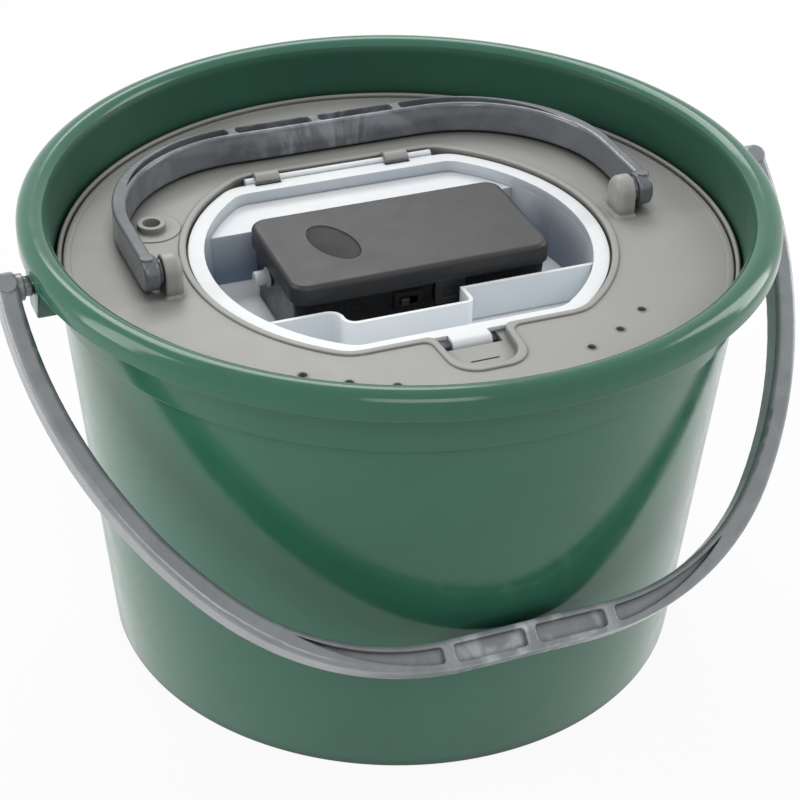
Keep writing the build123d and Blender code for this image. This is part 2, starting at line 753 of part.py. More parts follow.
def basket_lid():
    """Round lid with a sunk seat for the tray door, hinge clips, handle ears and a hose bushing."""
    radius = band_radius(basket_seat) - wall - basket_band_gap - basket_bead_width - lid_edge_gap
    skirt_radius = basket_wall_radius(lid_bottom - lid_skirt_depth) - basket_wall - lid_skirt_gap
    lid = slab(Circle(radius), lid_bottom, lid_top)
    lid = chamfer(lid.edges().group_by(Axis.Z)[-1], lid_thickness / 3)
    skirt = Circle(skirt_radius) - Circle(skirt_radius - lid_skirt_wall)
    lid += slab(skirt, lid_bottom - lid_skirt_depth, lid_bottom)
    lid += slab(recess_outline(lid_lip_width), lid_bottom, lid_top)
    lip = recess_outline(lid_lip_width) - recess_outline(0)
    lip = slab(lip, lid_top - lid_lip_height, lid_top + lid_lip_height)
    lid += fillet(lip.edges().group_by(Axis.Z)[-1], lid_lip_round)
    lid += slab(recess_outline(lid_recess_floor), recess_z - lid_recess_floor, lid_bottom)
    lid -= slab(recess_outline(0), recess_z, lid_top + 2 * lid_lip_height)
    opening = dish(tray_radius + tray_wall + tray_clearance,
                   tray_front - tray_wall - tray_clearance,
                   tray_back + tray_wall + tray_clearance, tray_corner + tray_wall)
    lid -= slab(opening, lid_bottom - lid_skirt_depth, lid_top)
    lid -= block(-tab_slot_half_width, tab_slot_half_width, door_front - tab_slot_reach,
                 door_front + door_corner, recess_z - 2 * lid_recess_floor, lid_top)
    mark_y = door_front - scoop_reach + scoop_mark_back
    lid -= block(-scoop_mark_length / 2, scoop_mark_length / 2, mark_y,
                 mark_y + scoop_mark_width, recess_z - scoop_mark_depth, lid_top)
    for x in knuckle_positions:
        lid += hinge_knuckle(x)
    for side in (-1, 1):
        ear = handle_boss(side)
        ear -= bar_x(handle_pin_radius + pin_clearance, side * (boss_outer + 1),
                     side * (boss_outer + handle_collar_gap - handle_pin_length - pin_end_gap),
                     handle_y, handle_z)
        lid += ear
        for angle in vent_angles:
            x, y = on_arc((0, 0), vent_circle, 270 + side * angle)
            lid -= Pos(x, y, lid_top) * Cylinder(vent_radius, 4 * lid_thickness)
    pad = Circle(bushing_pad_radius)
    neck = Circle(bushing_radius)
    bushing = slab(pad, lid_bottom, lid_top + bushing_pad_height)
    bushing += slab(neck, lid_bottom, lid_top + bushing_height)
    bushing = Pos(bushing_x, bushing_y, 0) * bushing
    bore = Pos(bushing_x, bushing_y, lid_top) * Cylinder(bushing_bore_radius,
                                                          4 * bushing_height)
    return lid + (bushing - slab(recess_outline(0), lid_bottom, pump_top)) - bore


# ---------------------------------------------------------------- tray door
def well_zone(grow):
    """Deep part of the tray seen from above: a band across it with a jog out to the front."""
    front = divider_y + tray_wall - grow
    rear = tray_shelf_edge + grow
    jog = jog_front + tray_wall - grow
    left = jog_left + tray_wall - grow
    right = jog_right - tray_wall + grow
    zone = make_face(Polyline(
        (-door_radius, rear), (-door_radius, front), (left, front), (left, jog), (right, jog),
        (right, front), (door_radius, front), (door_radius, rear), close=True))
    ends = zone.vertices()
    forward_left = [v for v in ends if abs(v.X - left) + abs(v.Y - jog) < 0.01]
    forward_right = [v for v in ends if abs(v.X - right) + abs(v.Y - jog) < 0.01]
    inner_left = [v for v in ends if abs(v.X - left) + abs(v.Y - front) < 0.01]
    zone = fillet(forward_left, jog_soft_round + grow)
    zone = fillet(same_vertices(zone, forward_right), jog_tight_round + grow)
    return fillet(same_vertices(zone, inner_left), jog_soft_round + tray_wall - grow)


def same_vertices(sheet, wanted):
    """The vertices of a changed outline that stand where the wanted ones stood."""
    return [v for v in sheet.vertices() if any(abs(v.X - w.X) + abs(v.Y - w.Y) < 0.01
                                               for w in wanted)]


def tray_outline(grow):
    """Outline of the tray's inside, made larger all round by an amount."""
    return dish(tray_radius + grow, tray_front - grow, tray_back + grow, tray_corner + grow)


def tray_funnel(grow):
    """Round draft of the tray's sides: a cone that narrows towards the tray's floor."""
    depth = door_bottom - tray_floor_z
    reach = 2 * depth
    narrow = tray_radius + grow - tray_draft * reach / depth
    wide = tray_radius + grow + tray_draft
    return Pos(0, 0, door_bottom + (depth - reach) / 2) * Cone(narrow, wide, reach + depth)


def trough(grow):
    """Shallow part of the tray in front of the divider, its front sloping in below the lid."""
    front = tray_front - grow
    low = trough_floor_z - grow
    rear = divider_y + tray_wall
    slope = trough_front_z - grow / 2
    side = make_face(Polyline((front, door_top), (front, slope), (front + trough_slope_run, low),
                              (rear, low), (rear, door_top), close=True))
    return extrude(Plane.YZ * side, door_radius, both=True)


def pump_door():
    """Thin moulded tray in the lid's opening: pump well, rear shelf, front trough, hinge rod."""
    top = door_top + tray_wall
    shelf_side = make_face(Polyline(
        (tray_shelf_edge - tray_wall, tray_shelf_z), (tray_shelf_edge - tray_wall, top),
        (tray_back + tray_wall, top), (tray_back + tray_wall, tray_shelf_z), close=True))
    shelf = extrude(Plane.YZ * shelf_side, door_radius, both=True)
    shelf_shell = Pos(0, 0, -tray_wall) * shelf
    shell = slab(tray_outline(tray_wall), tray_floor_z - tray_wall, door_bottom)
    shell &= tray_funnel(tray_wall)
    well_shell = slab(well_zone(tray_wall), tray_floor_z - tray_wall, door_bottom)
    shell &= well_shell + trough(tray_wall) + shelf_shell
    space = slab(tray_outline(0), tray_floor_z, top) & tray_funnel(0)
    well = slab(well_zone(0), tray_floor_z, top)
    front_space = trough(0) - slab(well_zone(tray_wall), tray_floor_z - tray_wall, top)
    lowered = slab(tray_outline(0), divider_top, top)
    space = (space & (well + front_space + shelf)) + lowered
    door = slab(dish(door_radius, door_front, door_back, door_corner), door_bottom, door_top)
    door = door + shell - space
    door += slab(fence_outline(), tray_floor_z - tray_wall / 2, tray_floor_z + fence_height)
    web = block(-hinge_bar_end, hinge_bar_end, tray_back + tray_wall, hinge_y,
                door_bottom, door_top)
    notch_reach = hinge_y - knuckle_radius - knuckle_side_gap
    notch_half = knuckle_width / 2 + knuckle_side_gap
    door += web
    for x in knuckle_positions:
        door -= block(x - notch_half, x + notch_half, notch_reach, hinge_y + knuckle_radius,
                      door_bottom - tray_wall, top)
    door += bar_x(hinge_rod_radius, -hinge_bar_end, hinge_bar_end, hinge_y, hinge_z)
    return door + finger_tab()


def fence_outline():
    """Small angled rib on the tray's floor that stops the pump from sliding left."""
    front = divider_y + tray_wall / 2
    return make_face(Polyline(
        (fence_x, front), (fence_x, fence_y), (fence_end_x, fence_y),
        (fence_end_x, fence_y - fence_thickness), (fence_x + fence_thickness,
                                                   fence_y - fence_thickness),
        (fence_x + fence_thickness, front), close=True))


def finger_tab():
    """Tab at the front of the tray, curling down into the lid's scoop."""
    root = door_front + tab_thickness
    bend = door_front - tab_reach + tab_drop
    tip = door_front - tab_reach
    half_turn = math.sqrt(0.5)
    inner = tab_drop - tab_thickness
    side = make_face([
        Polyline((bend, door_top), (root, door_top), (root, door_top - tab_thickness),
                 (bend, door_top - tab_thickness)),
        ThreePointArc((bend, door_top - tab_thickness),
                      (bend - inner * half_turn,
                       door_top - tab_drop + inner * half_turn),
                      (bend - inner, door_top - tab_drop)),
        Line((bend - inner, door_top - tab_drop), (tip, door_top - tab_drop)),
        ThreePointArc((tip, door_top - tab_drop),
                      (bend - tab_drop * half_turn,
                       door_top - tab_drop + tab_drop * half_turn),
                      (bend, door_top))])
    return extrude(Plane.YZ * side, tab_half_width, both=True)


# ---------------------------------------------------------------- pump housing
def case_block(grow, bottom, top):
    """The housing's drafted block, made smaller all round by a wall, between two heights."""
    sections = []
    for z in (bottom, top):
        inset = grow + (case_top - z) * taper_run
        section = RectangleRounded(case_right - case_left - 2 * inset,
                                   case_rear - case_front - 2 * inset,
                                   pump_corner - case_inset - inset)
        sections.append(Pos((case_left + case_right) / 2, cells_middle, z) * section)
    return loft(sections)


def turned_x(profile):
    """A profile drawn in X and radius, turned about the diaphragm's line."""
    return Pos(0, rod_y, motor_z) * revolve(Plane.XY * make_face(profile), Axis.X)


def motor_section(grow):
    """Round can with two flats, seen from its end, made larger by an amount."""
    tall = motor_flats + 2 * grow
    return Circle(motor_radius + grow) & Rectangle(4 * motor_radius, tall)


def on_motor_axis(sheet, y0, y1):
    """An outline seen along the motor's shaft, raised between two depths."""
    place = Plane(origin=(motor_x, y1, motor_z), x_dir=(1, 0, 0), z_dir=(0, -1, 0))
    return extrude(place * sheet, y1 - y0)


def pump_case():
    """Open housing of the pump: cell bay, motor posts, nozzle hole and switch slot."""
    outside = case_block(0, pump_bottom, case_top)
    inside = case_block(case_wall, case_floor, case_top)
    case = outside - inside
    ribs = block(bay_wall_x, bay_face, case_front, case_rear, case_floor, bay_wall_top)
    half_bridge = bridge_width / 2
    ribs += block(bridge_back + seat_gap, case_right, cells_middle - half_bridge,
                  cells_middle + half_bridge, case_floor, cell_z + contact_height / 2)
    clamp_half = clamp_width / 2
    for side in (-1, 1):
        near = motor_x + side * (motor_radius + clamp_gap + clamp_thickness)
        post = block(near, near + side * clamp_foot, clamp_y - clamp_half, clamp_y + clamp_half,
                     case_floor, clamp_foot_z - seat_gap)
        post -= Pos(near + side * clamp_foot / 2, clamp_y, clamp_foot_z) * Cylinder(
            screw_radius + seat_gap, 2 * screw_length + 1)
        ribs += post
    rib_half = motor_radius / 2
    motor_under = motor_z - motor_flats / 2 - seat_gap
    for y in (motor_front + motor_rib, motor_front + motor_length - 2 * motor_rib):
        ribs += block(motor_x - rib_half, motor_x + rib_half, y, y + motor_rib,
                      case_floor, motor_under)
    ribs += block(head_left, head_right, rod_y - rib_half, rod_y + rib_half, case_floor,
                  motor_z - head_half - seat_gap)
    ribs += bar_x(nozzle_flange_radius, case_left, case_left + 2 * case_wall, nozzle_y, nozzle_z)
    case += ribs & outside
    case += bar_x(nozzle_flange_radius, case_left, case_left + case_wall, nozzle_y, nozzle_z)
    bezel_half = switch_bezel_width / 2
    bezel_tall = switch_bezel_height / 2
    case += block(switch_x - bezel_half, switch_x + bezel_half, switch_face, switch_back,
                  switch_z - bezel_tall, switch_z + bezel_tall)
    slot_half = (switch_knob_width + switch_travel) / 2 + switch_gap
    slot_tall = switch_knob_height / 2 + switch_gap
    case -= block(switch_x - slot_half, switch_x + slot_half, switch_face - 1, switch_back + 1,
                  switch_z - slot_tall, switch_z + slot_tall)
    return case - bar_x(nozzle_radius + seat_gap, case_left - 1, case_left + 3 * case_wall,
                        nozzle_y, nozzle_z)


def pump_cover():
    """Lift-off cover: rounded slab with a bare oval badge recess and a spring latch."""
    middle = Pos((pump_left + pump_right) / 2, cells_middle, 0)
    outline = RectangleRounded(pump_right - pump_left, pump_rear - pump_front, pump_corner)
    cover = slab(middle * outline, cover_bottom, pump_top)
    cover = fillet(cover.edges().group_by(Axis.Z)[-1], pump_top_round)
    hollow = RectangleRounded(pump_right - pump_left - 2 * cover_wall,
                              pump_rear - pump_front - 2 * cover_wall,
                              pump_corner - cover_wall)
    cover -= slab(middle * hollow, cover_bottom, pump_top - cover_roof)
    badge = Pos(badge_x, badge_y) * Rot(0, 0, badge_tilt) * Ellipse(badge_half_width,
                                                                   badge_half_length)
    cover -= slab(badge, pump_top - badge_depth, pump_top + 1)
    latch_face = case_front - latch_gap
    latch_low = cover_bottom - latch_drop
    latch = block(latch_x - latch_width / 2, latch_x + latch_width / 2,
                  latch_face - latch_thickness, latch_face, latch_low, cover_bottom + 1)
    latch = fillet(latch.edges().filter_by(Axis.Y).group_by(Axis.Z)[0], latch_thickness)
    window = block(latch_x - latch_width / 4, latch_x + latch_width / 4,
                   latch_face - latch_thickness, latch_face - latch_thickness / 2,
                   latch_low + latch_width / 5, cover_bottom - 2 * latch_thickness)
    return cover + latch - window


def cover_gasket():
    """Flat rubber ring between the housing's rim and the cover."""
    width = case_right - case_left - 2 * seat_gap
    depth = case_rear - case_front - 2 * seat_gap
    corner = pump_corner - case_inset
    ring = RectangleRounded(width, depth, corner) - RectangleRounded(
        width - 2 * gasket_width, depth - 2 * gasket_width, corner - gasket_width)
    middle = Pos((case_left + case_right) / 2, cells_middle, 0)
    return slab(middle * ring, case_top + seat_gap, cover_bottom - seat_gap)


def air_nozzle():
    """White hose nozzle: a plain stub and flange outside, a spigot for the tube inside."""
    face = case_left - seat_gap
    tip = face - nozzle_flange - nozzle_reach
    round_end = tip + nozzle_tip_round
    round_radius = nozzle_radius - nozzle_tip_round
    turn = nozzle_tip_round * math.sqrt(0.5)
    root = case_left + 2 * case_wall
    end = root + spigot_length
    stub = [
        Line((tip, nozzle_bore), (tip, round_radius)),
        ThreePointArc((tip, round_radius), (round_end - turn, round_radius + turn),
                      (round_end, nozzle_radius)),
        Polyline((round_end, nozzle_radius), (face - nozzle_flange, nozzle_radius),
                 (face - nozzle_flange, nozzle_flange_radius), (face, nozzle_flange_radius),
                 (face, nozzle_radius), (root, nozzle_radius), (root, spigot_radius),
                 (end, spigot_radius), (end, nozzle_bore), (tip, nozzle_bore))]
    return Pos(0, nozzle_y, nozzle_z) * revolve(Plane.XY * make_face(stub), Axis.X)


def power_switch():
    """Sliding knob with its retaining plate behind the housing's wall."""
    left = switch_x - (switch_knob_width + switch_travel) / 2
    knob_z = switch_knob_height / 2
    knob = block(left, left + switch_knob_width, switch_face - switch_knob_proud,
                 switch_back + 2 * switch_gap, switch_z - knob_z, switch_z + knob_z)
    knob = chamfer(knob.faces().sort_by(Axis.Y)[0].edges(), switch_gap)
    middle = left + switch_knob_width / 2
    plate_y = switch_back + switch_gap
    plate_z = switch_plate_height / 2
    return knob + block(middle - switch_plate_width / 2, middle + switch_plate_width / 2,
                        plate_y, plate_y + switch_plate, switch_z - plate_z,
                        switch_z + plate_z)


# ---------------------------------------------------------------- cells and contacts
def battery(row, facing):
    """One round cell lying along X, row -1 in front and 1 behind, with its nub to one side."""
    y = cells_middle + row * cell_pitch / 2
    can = bar_x(cell_radius, cell_x, cell_end, y, cell_z)
    can = chamfer(can.edges().filter_by(GeomType.CIRCLE), cell_edge)
    if facing > 0:
        return can + bar_x(cell_nub_radius, cell_end, cell_end + cell_nub, y, cell_z)
    return can + bar_x(cell_nub_radius, cell_x - cell_nub, cell_x, y, cell_z)


def contact_bump(plate_x, touch_x, y):
    """Raised dimple of a contact plate, reaching from the plate to the cell."""
    reach = abs(touch_x - plate_x) - seat_gap
    lean = 90 if touch_x > plate_x else -90
    tip = contact_dimple_radius / 2
    place = Pos((plate_x + touch_x) / 2, y, cell_z) * Rot(0, lean, 0)
    return place * Cone(contact_dimple_radius, tip, reach)


def contact_plate(plate_x, y, width):
    """Thin upright metal plate across the bay."""
    half = contact_height / 2
    return block(plate_x, plate_x + contact_thickness, y - width / 2, y + width / 2,
                 cell_z - half, cell_z + half)


def leaf_contacts():
    """The two separate plates at the wired end of the cells."""
    plate_x = bay_face + seat_gap
    face = plate_x + contact_thickness
    plates = []
    for row, touch_x in ((-1, cell_x), (1, cell_x - cell_nub)):
        y = cells_middle + row * cell_pitch / 2
        plate = contact_plate(plate_x, y, contact_width)
        plates.append(plate + Pos(-seat_gap / 2, 0, 0) * contact_bump(face, touch_x, y))
    return Compound(plates)


def contact_bridge():
    """The one plate that joins the two cells at the far end."""
    plate_x = bridge_back - contact_thickness
    plate = contact_plate(plate_x, cells_middle, bridge_width)
    for row, touch_x in ((-1, cell_end + cell_nub), (1, cell_end)):
        y = cells_middle + row * cell_pitch / 2
        plate += Pos(seat_gap / 2, 0, 0) * contact_bump(plate_x, touch_x, y)
    return plate


# ---------------------------------------------------------------- motor and air head
def motor():
    """Small flat-sided motor lying along Y, bored for its shaft."""
    back = motor_front + motor_length
    can = on_motor_axis(motor_section(0), motor_front, back)
    can = chamfer(can.faces().filter_by(Axis.Y).edges().filter_by(GeomType.CIRCLE), cell_edge)
    can += bar_y(motor_boss_radius, motor_front - motor_boss, motor_front, motor_x, motor_z)
    can += bar_y(motor_boss_radius, back, back + motor_boss, motor_x, motor_z)
    return can - bar_y(shaft_radius + shaft_clearance, motor_front - 2 * motor_boss,
                       motor_front + shaft_depth + pin_end_gap, motor_x, motor_z)


def motor_shaft():
    """Plain steel shaft that carries the crank wheel."""
    return bar_y(shaft_radius, shaft_tip, motor_front + shaft_depth, motor_x, motor_z)


def crank_wheel():
    """Disc on the end of the shaft with an off-centre pin."""
    back = shaft_tip + crank_thickness
    wheel = bar_y(crank_radius, shaft_tip - press_gap, back, motor_x, motor_z)
    wheel -= bar_y(shaft_radius + press_gap, shaft_tip, back, motor_x, motor_z)
    wheel = wheel + bar_y(crank_pin_radius, shaft_tip - crank_pin_length, shaft_tip - press_gap,
                          motor_x, motor_z + crank_throw)
    return wheel


def connecting_rod():
    """Flat eye round the crank pin, with a round stem that pushes the diaphragm."""
    eye = rod_eye + rod_eye_wall
    neck = motor_x - crank_radius - rod_eye_wall
    rod = bar_y(eye, rod_back - rod_thickness, rod_back, motor_x, motor_z)
    rod += block(neck - rod_stem_radius, motor_x, rod_back - rod_thickness, rod_back,
                 motor_z - rod_stem_radius, motor_z + rod_stem_radius)
    rod += bar_x(rod_stem_radius, rod_stem_end, neck, rod_y, motor_z)
    return rod - bar_y(rod_eye, rod_back - 2 * rod_thickness, rod_back + 1, motor_x, motor_z)


def screw_places():
    """Centres of the four screws of the air head, in Y and Z."""
    return [(rod_y + i * head_screw_pitch, motor_z + j * head_screw_pitch)
            for i in (-1, 1) for j in (-1, 1)]


def head_sheet():
    """Rounded square outline of the air head, seen along X."""
    place = Plane(origin=(0, rod_y, motor_z), x_dir=(0, 1, 0), z_dir=(1, 0, 0))
    return place * RectangleRounded(2 * head_half, 2 * head_half, head_corner)


def pump_head():
    """Air chamber with the diaphragm's seat and the outlet spigot."""
    head = Pos(head_left, 0, 0) * extrude(head_sheet(), head_right - head_left)
    seat = head_right - diaphragm_rim - seat_gap
    head -= turned_x(Polyline(
        (seat - head_chamber_depth, 0), (seat - head_chamber_depth, head_chamber_radius / 2),
        (seat, head_chamber_radius), (seat, diaphragm_radius + seat_gap),
        (head_right + 1, diaphragm_radius + seat_gap), (head_right + 1, 0), close=True))
    side = rod_y + head_half
    head += bar_y(spigot_radius, side, side + spigot_length, head_port_x, nozzle_z)
    head -= bar_y(nozzle_bore, rod_y, side + spigot_length, head_port_x, nozzle_z)
    for y, z in screw_places():
        head -= bar_x(screw_radius + seat_gap, head_right - screw_length, head_right + 1, y, z)
    return head


def head_cap():
    """Front plate of the air head with the guide for the rod's stem."""
    cap = Pos(cap_left, 0, 0) * extrude(head_sheet(), cap_thickness)
    cap += bar_x(cap_boss_radius, cap_left, cap_boss_end, rod_y, motor_z)
    guide = cap_boss_end - cap_guide_length
    cap -= bar_x(cap_well_radius, cap_left - 1, guide, rod_y, motor_z)
    cap -= bar_x(rod_stem_radius + shaft_clearance, guide - 1, cap_boss_end + 1, rod_y, motor_z)
    for y, z in screw_places():
        cap -= bar_x(screw_radius + seat_gap, cap_left - 1, cap_right + 1, y, z)
    return cap


def diaphragm():
    """Rubber disc with a thick rim, a thin bowed web and a boss that the rod pushes."""
    face = head_right - seat_gap / 2
    back = face - diaphragm_rim
    web = face - diaphragm_rim / 2
    rim_inner_radius = diaphragm_radius - diaphragm_rim_width
    return turned_x(Polyline(
        (back, rim_inner_radius), (back, diaphragm_radius), (face, diaphragm_radius),
        (face, rim_inner_radius), (web, (rim_inner_radius + diaphragm_boss_radius) / 2),
        (face, diaphragm_boss_radius), (diaphragm_boss_end, diaphragm_boss_radius),
        (diaphragm_boss_end, 0), (back, 0), (back, diaphragm_boss_radius),
        (web - diaphragm_sheet, (rim_inner_radius + diaphragm_boss_radius) / 2), close=True))


def outlet_tube():
    """Soft tube from the air head's spigot round to the nozzle's spigot."""
    start = rod_y + head_half + seat_gap
    end_x = case_left + 2 * case_wall + seat_gap
    path = Wire([
        Line((head_port_x, start), (head_port_x, nozzle_y - tube_bend)),
        RadiusArc((head_port_x, nozzle_y - tube_bend), (head_port_x - tube_bend, nozzle_y),
                  -tube_bend),
        Line((head_port_x - tube_bend, nozzle_y), (end_x, nozzle_y))])
    inner = spigot_radius + tube_gap
    ring = Circle(inner + tube_wall) - Circle(inner)
    place = Plane(origin=(head_port_x, start, 0), z_dir=(0, 1, 0))
    return Pos(0, 0, nozzle_z) * sweep(place * ring, path=path)


def motor_clamp():
    """Metal strap over the motor with a foot on each post."""
    strap = motor_section(clamp_gap + clamp_thickness) - motor_section(clamp_gap)
    reach = motor_radius + clamp_gap + clamp_thickness
    above = Pos(0, 2 * reach) * Rectangle(4 * reach, 4 * reach)
    strap = strap & above
    for side in (-1, 1):
        strap += Pos(side * (reach + (clamp_foot - clamp_thickness) / 2), clamp_thickness / 2
                     ) * Rectangle(clamp_foot + clamp_thickness, clamp_thickness)
    clamp = on_motor_axis(strap, clamp_y - clamp_width / 2, clamp_y + clamp_width / 2)
    for side in (-1, 1):
        clamp -= Pos(motor_x + side * (reach + clamp_foot / 2), clamp_y, clamp_foot_z) * Cylinder(
            screw_radius + seat_gap, 4 * clamp_thickness)
    return clamp


def screw(length):
    """Cap screw standing on Z, the underside of its head at the origin."""
    shank = Pos(0, 0, -length / 2) * Cylinder(screw_radius, length)
    head = Pos(0, 0, screw_head_height / 2) * Cylinder(screw_head_radius, screw_head_height)
    slot = Pos(0, 0, screw_head_height) * Box(2 * screw_head_radius, screw_radius / 2,
                                              screw_head_height)
    return shank + head - slot


def clamp_screws():
    """The two screws of the motor's clamp."""
    reach = motor_radius + clamp_gap + clamp_thickness + clamp_foot / 2
    seat = clamp_foot_z + clamp_thickness + seat_gap
    return Compound([Pos(motor_x + side * reach, clamp_y, seat) * screw(screw_length)
                     for side in (-1, 1)])


def head_screws():
    """The four screws of the air head's cap."""
    seat = cap_right + seat_gap
    length = cap_thickness + screw_length - 1
    return Compound([Pos(seat, y, z) * Rot(0, 90, 0) * screw(length) for y, z in screw_places()])


parts = {}
parts["outer_bucket"] = outer_bucket()
parts["outer_bail"] = outer_bail()
parts["bait_basket"] = bait_basket()
parts["basket_lid"] = basket_lid()
parts["lid_handle"] = lid_handle()
parts["pump_door"] = pump_door()
parts["pump_case"] = pump_case()
parts["pump_cover"] = pump_cover()
parts["cover_gasket"] = cover_gasket()
parts["air_nozzle"] = air_nozzle()
parts["power_switch"] = power_switch()
parts["battery_1"] = battery(-1, 1)
parts["battery_2"] = battery(1, -1)
parts["leaf_contacts"] = leaf_contacts()
parts["contact_bridge"] = contact_bridge()
parts["motor"] = motor()
parts["motor_shaft"] = motor_shaft()
parts["crank_wheel"] = crank_wheel()
parts["connecting_rod"] = connecting_rod()
parts["diaphragm"] = diaphragm()
parts["pump_head"] = pump_head()
parts["head_cap"] = head_cap()
parts["outlet_tube"] = outlet_tube()
parts["motor_clamp"] = motor_clamp()
parts["clamp_screws"] = clamp_screws()
parts["head_screws"] = head_screws()

os.makedirs("parts", exist_ok=True)
for name, shape in parts.items():
    export_step(shape, "parts/" + name + ".step")
print("bail hangs", round(bail_hang_angle(), 3), "degrees from straight down; lid handle lies",
      round(handle_lay, 3), "degrees down")
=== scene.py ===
import math

import bmesh
import bpy
from mathutils import Matrix, Vector


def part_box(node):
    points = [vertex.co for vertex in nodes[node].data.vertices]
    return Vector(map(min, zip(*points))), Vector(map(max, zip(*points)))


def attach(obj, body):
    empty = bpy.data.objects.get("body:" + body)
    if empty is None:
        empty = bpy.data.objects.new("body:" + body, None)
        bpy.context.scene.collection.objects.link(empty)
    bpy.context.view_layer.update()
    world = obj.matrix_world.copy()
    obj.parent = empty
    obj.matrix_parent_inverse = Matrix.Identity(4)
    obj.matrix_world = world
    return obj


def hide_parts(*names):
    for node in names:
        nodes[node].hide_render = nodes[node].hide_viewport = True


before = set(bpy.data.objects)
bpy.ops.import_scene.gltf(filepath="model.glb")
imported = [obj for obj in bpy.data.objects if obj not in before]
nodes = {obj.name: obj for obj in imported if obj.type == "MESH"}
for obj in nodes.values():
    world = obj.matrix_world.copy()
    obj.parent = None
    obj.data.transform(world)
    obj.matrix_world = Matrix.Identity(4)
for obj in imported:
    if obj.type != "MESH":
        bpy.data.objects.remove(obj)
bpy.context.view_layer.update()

# ---------------------------------------------------------------------------------------------
# The studio: a camera at the photograph's place, a white sweep under and behind the bucket, and
# a white tent with a tall soft box at each side, one above and behind and one above the camera.
camera_place = (-0.30985, -0.76576, 0.65176)
camera_turn = math.radians(-22.03) - 0.0023
camera_tilt = math.radians(90 - 33.574)
camera_roll = 0.0226
camera_data = bpy.data.cameras.new("studio_camera")
camera_data.sensor_width = 36.0
camera_data.lens = 96.75
camera = bpy.data.objects.new("studio_camera", camera_data)
bpy.context.scene.collection.objects.link(camera)
camera.matrix_world = (
    Matrix.Translation(camera_place)
    @ Matrix.Rotation(camera_turn, 4, "Z")
    @ Matrix.Rotation(camera_tilt, 4, "X")
    @ Matrix.Rotation(camera_roll, 4, "Z")
)
bpy.context.scene.camera = camera
bpy.context.scene.view_settings.view_transform = "Standard"


def set_up(node, **settings):
    """Sets up a node; a name that isn't a setting is an input's, with _ for each space."""
    for key, value in settings.items():
        if hasattr(node, key):
            setattr(node, key, value)
        else:
            node.inputs[key.replace("_", " ")].default_value = value
    return node


def add_node(tree, kind, **settings):
    """A new node in a tree, set up."""
    return set_up(tree.nodes.new(kind), **settings)


def link(tree, *pairs):
    """Links sockets of a tree, each pair an output and the input that it feeds."""
    for source, target in pairs:
        tree.links.new(source, target)


def show_apart(tree, lighting, shown, share, surface):
    """Gives a surface two shaders: one lights the scene, and a share of the other is seen."""
    path = add_node(tree, "ShaderNodeLightPath")
    eye_or_gloss = add_node(tree, "ShaderNodeMath", operation="MAXIMUM")
    any_of_them = add_node(tree, "ShaderNodeMath", operation="MAXIMUM")
    part = add_node(tree, "ShaderNodeMath", operation="MULTIPLY")
    part.inputs[1].default_value = share
    mix = add_node(tree, "ShaderNodeMixShader")
    link(tree,
         (path.outputs["Is Camera Ray"], eye_or_gloss.inputs[0]),
         (path.outputs["Is Glossy Ray"], eye_or_gloss.inputs[1]),
         (eye_or_gloss.outputs[0], any_of_them.inputs[0]),
         (path.outputs["Is Transmission Ray"], any_of_them.inputs[1]),
         (any_of_them.outputs[0], part.inputs[0]),
         (part.outputs[0], mix.inputs[0]),
         (lighting.outputs[0], mix.inputs[1]),
         (shown.outputs[0], mix.inputs[2]),
         (mix.outputs[0], surface))


white = (1.0, 1.0, 1.0, 1.0)
tent_strength = 0.35
world = bpy.data.worlds.new("white_tent")
bpy.context.scene.world = world
world.use_nodes = True
tent = world.node_tree
tent_light = set_up(tent.nodes["Background"], Color=white, Strength=tent_strength)
tent_seen = add_node(tent, "ShaderNodeBackground", Color=white, Strength=1.0)
show_apart(tent, tent_light, tent_seen, 1.0, tent.nodes["World Output"].inputs["Surface"])


def soft_box(name, place, target, size, power):
    """A large rectangular lamp that looks at a point."""
    lamp = bpy.data.lights.new(name, "AREA")
    lamp.shape = "RECTANGLE"
    lamp.size, lamp.size_y = size
    lamp.energy = power
    holder = bpy.data.objects.new(name, lamp)
    holder.location = place
    aim = Vector(target) - Vector(place)
    holder.rotation_euler = aim.to_track_quat("-Z", "Y").to_euler()
    bpy.context.scene.collection.objects.link(holder)


body_middle = (0.0, 0.0, 0.12)
upper_middle = (0.0, 0.0, 0.15)
soft_box("left_soft_box", (-1.25, 0.3, 0.6), body_middle, (0.5, 1.2), 8.0)
soft_box("right_soft_box", (1.15, 0.0, 0.6), body_middle, (0.4, 1.2), 7.0)
soft_box("top_soft_box", (0.1, 1.05, 1.3), upper_middle, (0.9, 0.7), 9.5)
soft_box("front_soft_box", (-0.35, -1.45, 1.5), upper_middle, (0.9, 0.7), 7.5)


def new_material(name):
    """A new material with its tree and its shader."""
    material = bpy.data.materials.new(name)
    material.use_nodes = True
    return material, material.node_tree, material.node_tree.nodes["Principled BSDF"]


floor_half = 6.0
floor_drop = 0.0004
paper_grey = 0.86
paper_shown = 0.92
floor_mesh = bpy.data.meshes.new("studio_floor")
floor_mesh.from_pydata(
    [(-floor_half, -floor_half, 0), (floor_half, -floor_half, 0),
     (floor_half, floor_half, 0), (-floor_half, floor_half, 0)], [], [(0, 1, 2, 3)])
floor = bpy.data.objects.new("studio_floor", floor_mesh)
floor.location.z = -floor_drop
bpy.context.scene.collection.objects.link(floor)
paper, paper_tree, paper_shader = new_material("white_paper")
set_up(paper_shader, Base_Color=(paper_grey, paper_grey, paper_grey, 1.0), Roughness=0.9,
       Specular_IOR_Level=0.1)
paper_glow = add_node(paper_tree, "ShaderNodeEmission", Color=white, Strength=1.0)
show_apart(paper_tree, paper_shader, paper_glow, paper_shown,
           paper_tree.nodes["Material Output"].inputs["Surface"])
floor_mesh.materials.append(paper)

